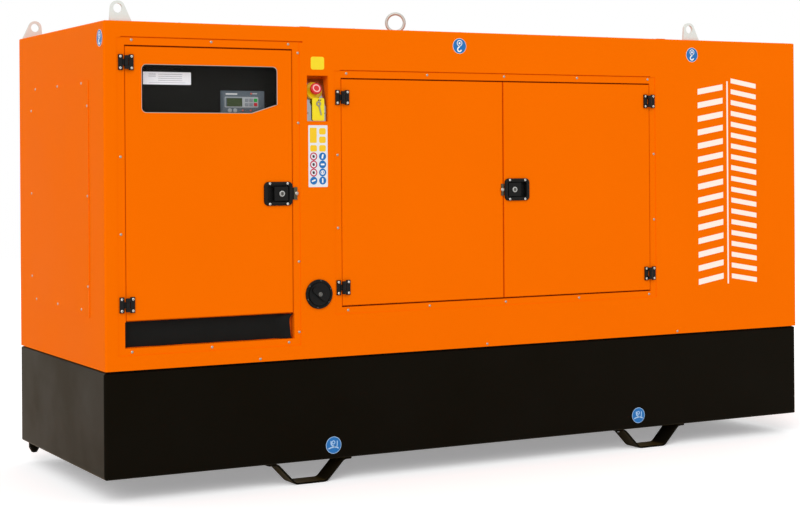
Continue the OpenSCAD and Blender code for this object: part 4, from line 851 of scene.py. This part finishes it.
# The plate leans back by 18 degrees above a bend 61.4 mm up; its front face is 12 mm inside the skin
lean = np.radians(18)
ON_PLATE = np.array([[1, 0, 0], [0, np.sin(lean), np.cos(lean)], [0, -np.cos(lean), np.sin(lean)]])
bend = np.array([mid("stop_collar", 0), mm("stop_plate", 0, 1), mm("stop_plate", 0, 2) + 61.4])
button_at = bend + np.array([0, 62, 0]) @ ON_PLATE

# Mushroom head on its neck: the flank swells out to a rolled rim, the face dips towards its middle
mushroom = lathe([(10.5, -3), (10.5, 12), (10.4, 15), (17.6, 15), (19.4, 16.4), (21.2, 20), (22.6, 25),
                  (23.3, 30), (23.5, 34), (23.2, 36.4), (22.2, 38.2), (20.4, 39), (16, 38.8), (9, 38.3),
                  (1, 38.1)], 44)
edged("stop_mushroom", copies(mushroom, button_at, ON_PLATE), button_red, "stop_button", "stop_red",
      replaces=["stop_button"], angle=40)
pink_ink = screen_ink("pale_pink_pad_print", "#F7B9B6", 0.4, (0.05, 12))
edged("stop_ring", copies(band(16.4, 11.8, 38.5, 0.5, 36), button_at, ON_PLATE), pink_ink, "stop_button",
      "stop_red")
# Raised lip of the collar: a half-round bead along its outer edge
collar_lip = hoop([(36.2, 0.2), (36.2, 10), (35.4, 11.6), (33.6, 12.4), (31.8, 11.6), (31, 10.1), (31, 0.2)],
                  48)
edged("stop_collar_lip", copies(collar_lip, button_at, ON_PLATE), collar_yellow, slot="stop_yellow", angle=40)

# Yellow key tag on a nylon strap: sheet polypropylene with a slot, and a flat nickelled key
tag_yellow = finish("yellow_polypropylene_sheet", "#F2DC0C", (0.42, 0.05), (0.05, 25), (4, 0.03),
                    specular=0.4)
nylon = finish("natural_nylon_strap", "#D9D6C6", (0.45, 0.05), (0.08, 15), (3, 0.03), specular=0.4)
key_brass = finish("nickelled_brass_key", "#A09A88", (0.4, 0.1), (0.2, 12), (2, 0.03), metal=0.85)
tag_at = front_at(902, 1001, -7.4)
piece("key_tag", copies(slab(54, 92, 7, 1.2), tag_at), tag_yellow, slot="stop_yellow")
# The tag's slot is a thin black patch on its face: painted shade where the hole would be.
piece("key_tag_slot_shade", copies(slab(15, 4.2, 2, 0.3), front_at(908, 1038.5, -6.1)), polyamide,
      slot="stop_yellow")
# The strap is a closed loop through the tag's slot and a hole in the plate behind it
t = np.linspace(0, 2 * np.pi, 28, endpoint=False)
strap = front_at(908, 1042 + 8 * np.sin(t), -12.5 - 8.5 * np.cos(t))
edged("key_strap", sweep(rounded(4.2, 1.3, 0.4, 2), strap, (1, 0, 0), closed=True), nylon, slot="stop_yellow")
bow = hoop([(4.6, 0), (10.6, 0), (11, 0.6), (10.6, 2.2), (4.6, 2.2)], 22)
blade = extrude([(-2.6, -46), (-1.6, -48), (1.2, -48), (2.2, -46.5), (2.2, -43), (3.2, -41.5), (2.0, -39.5),
                 (3.2, -37), (1.8, -35), (3.2, -32.5), (3.2, -27), (2.6, -25), (3.4, -9), (-3.2, -9)], 2.0)
edged("key", copies(shift(join(bow, blade), spin=14), front_at(903, 1024, -5.9)), key_brass, slot="zinc")
plate_screws = front_at([857, 936], 987, -12)
edged("stop_plate_screws", copies(socket_screw, plate_screws), stainless, slot="zinc")


# ---------------------------------------------------------------------------
# Fuel filler: flange screws, grip flutes on the cap and its lock
# ---------------------------------------------------------------------------

def fluted_rim(radius, height, flutes=36, depth=1.0):
    """Cap rim seen from outside: at angle a its radius is radius + depth |cos(flutes a / 2)| ** 0.6."""
    a = np.linspace(0, 2 * np.pi, flutes * 4, endpoint=False)
    r = radius + depth * np.abs(np.cos(flutes * a / 2)) ** 0.6
    levels = [(0, 0.0), (0, height - 2.4), (-0.7, height - 0.9), (-2.4, height)]
    return loft(np.stack([np.column_stack([(r + i) * np.cos(a), (r + i) * np.sin(a), np.full(len(a), h)])
                          for i, h in levels]))


filler = np.array([mid("fuel_filler", 0), skin_y, mid("fuel_filler", 2)])
cap_y, cap_r = mm("fuel_cap", 0, 1), (mm("fuel_cap", 1, 0) - mm("fuel_cap", 0, 0)) / 2
turns = np.radians(np.arange(6) * 60 + 22)
filler_screws = filler + np.column_stack([54.4 * np.cos(turns), np.full(6, -5.9), 54.4 * np.sin(turns)])
small_screw = join(lathe([(3.4, 0), (3.4, 0.6), (2.9, 1.6), (1.9, 2.0)], 14),
                   lathe([(1.9, 2.0), (1.7, 1.0), (0.3, 0.9)], 6))
edged("filler_screws", copies(small_screw, filler_screws), lock_nickel, slot="zinc")
filler_lip = hoop([(59.3, 0.2), (59.3, 4.8), (58, 6.8), (55.6, 7.2), (54.0, 6.1), (54.0, 0.2)], 56)
edged("filler_lip", copies(filler_lip, filler), polyamide, slot="black_polymer", angle=50)
front_of_cap = skin_y - (cap_y + 7)
edged("cap_flutes", copies(fluted_rim(cap_r + 0.1, front_of_cap - 4.2), filler - [0, 4, 0]), polyamide,
      "fuel_cap", "black_polymer", angle=50)
grip_edge = plate(2 * cap_r - 11.4, 26.6, 13.3, [(0, 0), (0, 6.2), (0.5, 7.2), (2.2, 7.6), (5.0, 6.9)], 10)
edged("cap_grip", copies(shift(grip_edge, spin=-40), [filler[0], cap_y + 7, filler[2]]), polyamide,
      "fuel_cap", "black_polymer", angle=50)
lock_disc = join(hoop([(5.2, 0), (9.0, 0), (9.0, 1.0), (8.2, 1.7), (6.0, 1.8), (5.2, 0.8)], 24),
                 lathe([(5.2, 0), (5.2, 0.6), (0.6, 0.7)], 20), shift(slab(2.0, 7.5, 0.8, 0.3), z=0.6))
edged("cap_lock", copies(shift(lock_disc, spin=-40), [filler[0], cap_y + 0.1, filler[2]]), lock_nickel,
      "fuel_cap", "zinc")


# ---------------------------------------------------------------------------
# Feet: broad flat bars bent to a trapezoid, bolted up under the base
# ---------------------------------------------------------------------------

def bent(corners, radius, steps=6):
    """Path with rounded corners: at each one (1 - t) ** 2 p + 2 t (1 - t) corner + t ** 2 q, where p and q
    lie a radius away from it on its two sides."""
    c = np.array(corners, float)
    before, after = c[:-2] - c[1:-1], c[2:] - c[1:-1]
    p = c[1:-1] + radius * before / np.linalg.norm(before, axis=1)[:, None]
    q = c[1:-1] + radius * after / np.linalg.norm(after, axis=1)[:, None]
    t = np.linspace(0, 1, steps)[None, :, None]
    arcs = (1 - t) ** 2 * p[:, None] + 2 * t * (1 - t) * c[1:-1, None] + t ** 2 * q[:, None]
    return np.vstack([c[:1], arcs.reshape(-1, 2), c[-1:]])


def foot_bar(sole=69, top=149, tab=38, width=96, thick=8, bend_radius=13, corner=12):
    """Bar carried along the bent line in x and z; near the ends of its tabs it narrows as the quarter
    circle of its corners."""
    half_thick, height = thick / 2, mm("base_tank", 0, 2) - thick / 2
    line = bent([(-top - tab, height), (-top, height), (-sole, half_thick), (sole, half_thick), (top, height),
                 (top + tab, height)], bend_radius)
    ends = np.array([[0, 0], [2, 0], [5, 0], [9, 0], [13, 0]])
    line = np.vstack([line[0] + ends, line[1:-1], line[-1] - ends[::-1]])
    travel = np.gradient(line, axis=0)
    travel /= np.linalg.norm(travel, axis=1)[:, None]
    across = np.column_stack([-travel[:, 1], travel[:, 0]])
    to_end = np.abs(np.abs(line[:, 0]) - (top + tab))
    drawn_in = np.clip(corner - to_end, 0, corner)
    half = width / 2 - corner + np.sqrt(np.clip(corner ** 2 - drawn_in ** 2, 0, None))
    section = np.array([(-1, -0.42), (-0.985, -0.5), (0.985, -0.5), (1, -0.42), (1, 0.42), (0.985, 0.5),
                        (-0.985, 0.5), (-1, 0.42)])
    rings = np.stack([line[:, None, 0] + across[:, None, 0] * section[:, 1] * thick,
                      half[:, None] * section[:, 0],
                      line[:, None, 1] + across[:, None, 1] * section[:, 1] * thick], -1)
    return loft(rings)


foot_line, bolt_step, bolt_side = mm("front_feet", 0, 1) + 48, 170, 26
foot_spots = np.array([[x, y, 0] for x in (-831, 868) for y in (foot_line, -foot_line)], float)
for name, row in (("front", foot_spots[::2]), ("rear", foot_spots[1::2])):
    edged(name + "_foot_bars", copies(foot_bar(), row, TOP), black_coat, slot="black_paint",
          replaces=[name + "_feet"], angle=30)
bolts = np.array([[x, y, mm("base_tank", 0, 2) - 8] for x in (-bolt_step, bolt_step)
                  for y in (-bolt_side, bolt_side)])
edged("foot_bolts", copies(hex_screw, (foot_spots[:, None] + bolts[None]).reshape(-1, 3), UNDER), zinc_plate,
      slot="zinc")


# Drain plug in the far left corner, 23 mm inside the base's end and 5 mm inside its rear: a flanged cup,
# drawn in to its socket
cup_r, cup_drop = 25, 52
cup = lathe([(cup_r, -1), (cup_r, 6), (cup_r - 1.5, 7), (cup_r - 1.5, 28), (cup_r - 3, 32), (15, 45),
             (12, 50), (7, cup_drop), (0.8, cup_drop)], 32)
cup_spot = [mm("base_tank", 0, 0) + 23 + cup_r, mm("base_tank", 1, 1) - 5 - cup_r, mm("base_tank", 0, 2)]
edged("drain_cup", copies(cup, cup_spot, UNDER), black_coat, slot="black_paint", replaces=["drain_plug"],
      angle=30)


# ---------------------------------------------------------------------------
# Cable entry: rubber curtain with a curved right edge, hung from the bar above it
# ---------------------------------------------------------------------------

def curtain_sheet(thick=2.6, count=120, rows=16):
    """Hung sheet: at width u and height v of 0..1 it stands 0.8 sin(23 u) + 0.5 sin(57 u + 3 v) mm out of
    its plane, more towards its free lower edge, and its right edge is drawn in by
    (9 + 12 v) (1 - v ** 8); its last tenth curls out to the skin, by 21 (3 c ** 2 - 2 c ** 3) mm."""
    left, right = mm("rubber_curtain", 0, 0), mm("rubber_curtain", 1, 0)
    low, high = mm("rubber_curtain", 0, 2), mm("rubber_curtain", 1, 2)
    u, v = np.meshgrid(np.linspace(0, 1, count), np.linspace(0, 1, rows))
    edge = right - (9 + 12 * v) * (1 - v ** 8) + 3
    x = left + u * (edge - left)
    z = low + v * (high - low)
    swell = (1 - 0.8 * v) * (0.8 * np.sin(23 * u) + 0.5 * np.sin(57 * u + 3 * v))
    c = np.clip((u - 0.9) / 0.1, 0, 1)
    y = mm("rubber_curtain", 0, 1) + 0.2 + swell - 21 * (3 * c ** 2 - 2 * c ** 3)
    front = np.stack([x, y, z], -1)
    back = front + [0, thick, 0]
    grid = np.array(ring_faces(rows, count, closed=False))
    size = rows * count
    rim = rim_of(np.arange(size).reshape(rows, count))
    after = np.roll(rim, -1)
    wall = np.stack([rim, rim + size, after + size, after], -1)
    faces = grid.tolist() + (grid[:, ::-1] + size).tolist() + wall.tolist()
    return np.vstack([front.reshape(-1, 3), back.reshape(-1, 3)]), faces


curtain = edged("entry_curtain", curtain_sheet(), epdm, slot="rubber", replaces=["rubber_curtain"], angle=60)


# ---------------------------------------------------------------------------
# Doorways: jamb lips, rubber seals, and the seams of the other sides
# ---------------------------------------------------------------------------

def jamb_lip(x, low, high):
    """Folded edge of a doorway: a narrow upright strip just behind the skin, its front edge broken."""
    lip = plate(3.4, high - low, 0.5, [(0, 0), (0, 3.6), (0.5, 4.2)])
    return copies(lip, front_at(x, (low + high) / 2, -5.4))


# Doorways as left, right, low, high; 6 mm of gap stands round each door
gap = 6
control_way = (mm("control_door", 0, 0) - gap - canopy_left, mm("control_door", 1, 0) + gap - canopy_left,
               184, 1241)
engine_way = (mm("engine_door_left", 0, 0) - gap - canopy_left,
              mm("engine_door_right", 1, 0) + gap - canopy_left, 199, 1130)
edged("doorway_jambs", join(*[jamb_lip(x, low, high) for left, right, low, high in (control_way, engine_way)
                              for x in (left + 1.5, right - 1.5)]), orange_coat, slot="orange_paint")


def bulb_seal(left, right, low, high):
    """Hollow rubber bulb pushed on the stop flange: a round section carried along a rounded frame."""
    frame_line = rounded(right - left, high - low, 14, 4) + [(left + right) / 2, (low + high) / 2]
    path = front_at(frame_line[:, 0], frame_line[:, 1], -31.1)
    return sweep(circle(2.9, 8), path, (0, -1, 0), closed=True)


seals = join(bulb_seal(control_way[0] + 9, control_way[1] - 9, 197, 1232),
             bulb_seal(engine_way[0] + 9, engine_way[1] - 9, 208, 1121))
piece("door_seals", seals, epdm, slot="rubber", soft=True)

rear_rivets = rivet_rows(engine_frame + [(x, [1218, 947, 664, 390, 108]) for x in (66, 3330)])
edged("rear_rivets", copies(rivet, rear_rivets * [1, 0, 1] + [0, rear_y, 0], REAR), stainless, slot="zinc")

# Roof: low screw heads round its edge, and a seam strap beside each lug pair
roof_screw = lathe([(6, 0), (5.8, 0.7), (4.2, 1.3), (1.6, 1.5)], 14)
margin = 16
roof_places = np.array([[canopy_left + x, side * (rear_y - margin), roof_z]
                        for x in np.linspace(60, 3336, 14) for side in (-1, 1)]
                       + [[end, y, roof_z] for end in (canopy_left + margin, canopy_right - margin)
                          for y in (-340, -115, 115, 340)])
edged("roof_screws", copies(roof_screw, roof_places, TOP), stainless, slot="zinc")
seam = plate(44, 1120, 2, [(0, 0), (0, 0.9), (0.7, 1.6)])
edged("roof_seams", copies(seam, [[canopy_left + x, 0, roof_z] for x in (845, 2620)], TOP), orange_coat,
      slot="orange_paint")


# ---------------------------------------------------------------------------
# Sound lining: egg-crate foam on the doors and the walls
# ---------------------------------------------------------------------------

# Fire-retardant polyurethane foam, hot-wire cut: charcoal, open-celled, with a dull felt-like surface.
acoustic_foam = finish("charcoal_acoustic_foam", "#2B2C2E", (0.92, 0.04), (0.14, 70), (1.6, 0.35),
                       specular=0.1)


def egg_crate(left, right, low, high, thick=18, pitch=42, fine=6):
    """Foam mat: over a base of half its thickness stand humps of half its thickness times
    (0.5 + 0.5 cos(2 pi x / pitch) cos(2 pi z / pitch)), which die out 12 mm before its edges."""
    width, height = right - left, high - low
    nx, nz = int(width / pitch * fine) + 1, int(height / pitch * fine) + 1
    x, z = np.meshgrid(np.linspace(-width / 2, width / 2, nx), np.linspace(-height / 2, height / 2, nz))
    fade = np.clip(np.minimum(width / 2 - np.abs(x), height / 2 - np.abs(z)) / 12, 0, 1)
    hump = 0.5 + 0.5 * np.cos(2 * np.pi * x / pitch) * np.cos(2 * np.pi * z / pitch)
    top = thick * (0.5 * np.minimum(1, 0.7 + fade) + 0.5 * hump * fade)
    front = np.stack([x, z, top], -1).reshape(-1, 3)
    rim = rim_of(np.arange(nx * nz).reshape(nz, nx))
    foot = front[rim] * [1, 1, 0]
    low_rim = np.arange(len(rim)) + len(front)
    wall = np.stack([rim, low_rim, np.roll(low_rim, -1), np.roll(rim, -1)], -1)
    return (np.vstack([front, foot]),
            ring_faces(nz, nx, closed=False) + wall.tolist() + [low_rim[::-1].tolist()])


def lining(name, mesh, body="genset"):
    """A piece of foam."""
    piece(name, mesh, acoustic_foam, body, "rubber", soft=True)


def door_lining(name, body, left, right, low, high, keep=None):
    """Mats on the inner face of a door, in the shallow tray between its folded edges; keep is the
    block (left, right, low, high) left free behind the latch."""
    mats = [(left, right, low, high)]
    if keep:
        x0, x1, z0, z1 = keep
        wide_left = x0 - left > right - x1
        mats = [(left, x0, low, high) if wide_left else (x1, right, low, high)]
        side = (x0, right) if wide_left else (left, x1)
        mats += [(*side, low, z0), (*side, z1, high)]
    lining(name, join(*[copies(egg_crate(*mat), front_at((mat[0] + mat[1]) / 2, (mat[2] + mat[3]) / 2, -24),
                               REAR) for mat in mats]), body)


door_lining("control_door_foam", "control_door", 113, 754, 217, 955, keep=(648, 790, 600, 728))
door_lining("engine_left_foam", "engine_door_left", 1032, 1744, 233, 1096)
door_lining("engine_right_foam", "engine_door_right", 1806, 2518, 233, 1096, keep=(1770, 1912, 600, 730))
wall_middle = skirt_z + 660
lining("rear_wall_foam", copies(egg_crate(70, 2560, 40, 1280, 22, 62, 5),
                                [canopy_left + 1315, mm("rear_wall", 0, 1), wall_middle], FRONT))
lining("end_wall_foam", copies(egg_crate(-480, 480, 40, 1280, 22, 62, 5),
                               [mm("left_end_wall", 1, 0), 0, wall_middle], RIGHT))


# ---------------------------------------------------------------------------
# Engine bay: belt, pipes, caps and bolts
# ---------------------------------------------------------------------------

def inside(x, y, z):
    """Places in the machine: x from the canopy's left end, y from its middle, z above its lower edge."""
    x, y, z = np.broadcast_arrays(np.asarray(x, float), np.asarray(y, float), np.asarray(z, float))
    return np.stack([canopy_left + x, y, skirt_z + z], -1).reshape(-1, 3)


# V-belt: in each direction a it lies on whichever pulley reaches furthest, at centre + radius
# (cos a, sin a)
a = np.linspace(0, 2 * np.pi, 96, endpoint=False)
pulleys = np.array([(0, 330, 112), (0, 440, 76), (-190, 450, 38)], float)
reach = pulleys[:, :1] * np.cos(a) + pulleys[:, 1:2] * np.sin(a) + pulleys[:, 2:]
on = pulleys[reach.argmax(0)]
belt = inside(2355, on[:, 0] + on[:, 2] * np.cos(a), on[:, 1] + on[:, 2] * np.sin(a))
edged("drive_belt", sweep([(-6, -3.5), (6, -3.5), (4.5, 4), (-4.5, 4)], belt, (1, 0, 0), closed=True), epdm,
      slot="rubber", angle=50)


# Injection lines: bright steel tubes with their nuts
def injection_line(i):
    """Line of one cylinder, from the pump's stub over the inlet manifold to the head."""
    x = [1800 + 38 * i, 1796 + 40 * i, 1720 + 68 * i, 1640 + 92 * i, 1612 + 100 * i, 1612 + 100 * i]
    y = [-172, -206 - 3 * (i % 2), -226, -216, -170, -109]
    return tube(inside(x, y, [520, 556, 606, 660, 704, 676]), 3.2, 8, per=6)


six = np.arange(6)
nut = lathe([(7.5, 0), (7.5, 10), (6.2, 12), (3.6, 12)], 6)
nuts = join(copies(nut, inside(1800 + 38 * six, -172, 526), TOP),
            copies(nut, inside(1612 + 100 * six, -108, 676)))
edged("injection_pipes", join(*[injection_line(i) for i in six]), stainless, slot="zinc", angle=50)
edged("injection_nuts", nuts, zinc_plate, slot="zinc")

# Coolant pipes: steel bends between the head and the radiator, with rubber sleeves and clamps at their ends
upper = inside([2235, 2236, 2262, 2350, 2480, 2616], [62, 62, 60, 52, 44, 40], [676, 760, 832, 884, 910, 920])
lower = inside([2200, 2260, 2340, 2450, 2560, 2616], [-120, -168, -262, -330, -352, -356],
               [300, 262, 200, 150, 126, 122])
edged("coolant_pipes", join(tube(upper, 25, 18), tube(lower, 25, 18)), radiator_enamel, slot="radiator_black",
      angle=60)
sleeve = hoop([(25.2, 0), (30, 0), (30.6, 3), (30.6, 70), (30, 73), (25.2, 73)], 20)
clamp = join(hoop([(30.4, 0), (32, 0), (32, 11), (30.4, 11)], 24), shift(slab(11, 12, 1.5, 11), x=36.5))
edged("coolant_sleeves", join(copies(sleeve, [upper[5] - [70, 0, 0], lower[5] - [70, 0, 0]], RIGHT),
                              copies(sleeve, upper[0] + [0, 0, 6], TOP)), epdm, slot="rubber", angle=50)
from_end = np.array([[62, 0, 0], [26, 0, 0]])
clamps = join(copies(clamp, np.vstack([upper[5] - from_end, lower[5] - from_end]), RIGHT),
              copies(clamp, upper[0] + [[0, 0, 14], [0, 0, 60]], TOP))
edged("coolant_clamps", clamps, zinc_plate, slot="zinc", angle=40)

# Rocker covers: a screw at both ends, the oil filler on the third
rocker_x, rocker_top = 1612 + 100 * six, 740
edged("rocker_screws", copies(hex_screw, np.vstack([inside(rocker_x, y, rocker_top) for y in (-56, 56)]),
                              TOP), zinc_plate, slot="zinc")
oil_cap = join(lathe([(22, 0), (22, 9), (20, 10)], 28), shift(fluted_rim(27, 17, 14, 2.6), z=9))
edged("oil_filler_cap", copies(oil_cap, inside(rocker_x[2], 0, rocker_top - 1), TOP), polyamide,
      slot="black_polymer", angle=40)

# Fan guard: rings of 5 mm wire on eight stays, in front of the fan
rings = [sweep(circle(2.5, 6), inside(2424, r * np.cos(a), 440 + r * np.sin(a)), (1, 0, 0), closed=True)
         for r in np.arange(128, 309, 30)]
along = np.array([120, 210, 308])
stays = [tube(inside(2428, along * np.cos(t), 440 + along * np.sin(t)), 3.0, 6, (1, 0, 0), 2)
         for t in np.radians([35, 80, 125, 170, 215, 260, 305, 350])]
piece("fan_guard", join(*rings, *stays), zinc_plate, slot="zinc", soft=True)


# Radiator core: flat tubes with folded fins between them
def fin_face(side, rows=133, count=332, pitch=14, fold=12):
    """Core face: it is drawn in between the tubes by |sin(pi y / pitch)| ** 0.5, and the fins there run
    in a zigzag of the fold, drawn coarse so that it shows."""
    y, z = np.meshgrid(np.linspace(-386, 386, count), np.linspace(84, 876, rows))
    tube_line = np.abs(np.sin(np.pi * y / pitch)) ** 0.5
    zigzag = np.abs((z / fold + 0.25 * np.sign(np.sin(2 * np.pi * y / pitch))) % 1 - 0.5) * 2
    face = 2627.2 if side < 0 else 2682.8
    x = face - side * (3.0 * tube_line * (0.35 + 0.65 * zigzag)) + side * 0.4
    points = np.stack([canopy_left + x, y, skirt_z + z], -1).reshape(-1, 3)
    faces = np.array(ring_faces(rows, count, closed=False))
    return points, (faces[:, ::-1] if side < 0 else faces).tolist()


piece("radiator_fins", join(fin_face(-1), fin_face(1)), radiator_enamel, slot="radiator_black")

# Air filter: two clamp bands
band_ring = hoop([(105, 0), (107.4, 0), (107.4, 16), (105, 16)], 48)
edged("air_filter_bands", copies(band_ring, inside([1652, 1872], 60, 861), RIGHT), zinc_plate, slot="zinc",
      angle=40)

# Silencer: two strap bands
strap_ring = hoop([(115.2, 0), (118, 0), (118, 34), (115.2, 34)], 48)
edged("silencer_bands", copies(strap_ring, inside(3031, [-214, 248], 560), FRONT), stainless, slot="zinc",
      angle=40)

# Alternator: bolts round its end shield
turn8 = np.radians(22.5 + 45 * np.arange(8))
edged("alternator_bolts", copies(hex_screw, inside(mm("alternator", 0, 0) - canopy_left, 182 * np.cos(turn8),
                                                   330 + 182 * np.sin(turn8)), LEFT), zinc_plate, slot="zinc")

# Battery: six cell plugs, and a soft cover over each post
cell_plug = join(lathe([(11, 0), (11, 4), (10, 5.4), (8, 5.8)], 20), shift(slab(13, 2.6, 1, 2.2), z=5.6))
edged("battery_plugs", copies(cell_plug, inside(1096 + 47 * six, -408, 210), TOP), key_grey,
      slot="battery_black")
post_cover = plate(40, 34, 8, [(0, 0), (-1.4, 3), (-1.4, 12), (2, 19), (9, 23)], 5)
edged("battery_covers", copies(post_cover, inside([1083], -340, 211), TOP), key_red, slot="battery_black")
edged("battery_cover_dark", copies(post_cover, inside([1343], -340, 211), TOP), epdm, slot="battery_black")

# Output breaker: toggle in its frame, with a row of terminal screws above and below
breaker_y = mm("output_breaker", 0, 1)
toggle_at = front_at(435, 708, face=breaker_y)
edged("breaker_frame", copies(plate(74, 62, 4, [(0, 0), (0, 2.2), (1, 3)]), toggle_at), cabinet_coat,
      slot="battery_black")
toggle = shift(plate(26, 38, 5, [(0, 2), (0.6, 16), (3.2, 24), (7, 26)]), y=6)
edged("breaker_toggle", copies(toggle, toggle_at), key_grey, slot="battery_black")
terminals = front_at([378, 435, 492] * 2, [622] * 3 + [790] * 3, face=breaker_y)
edged("breaker_screws", copies(socket_screw, terminals), zinc_flake, slot="zinc")
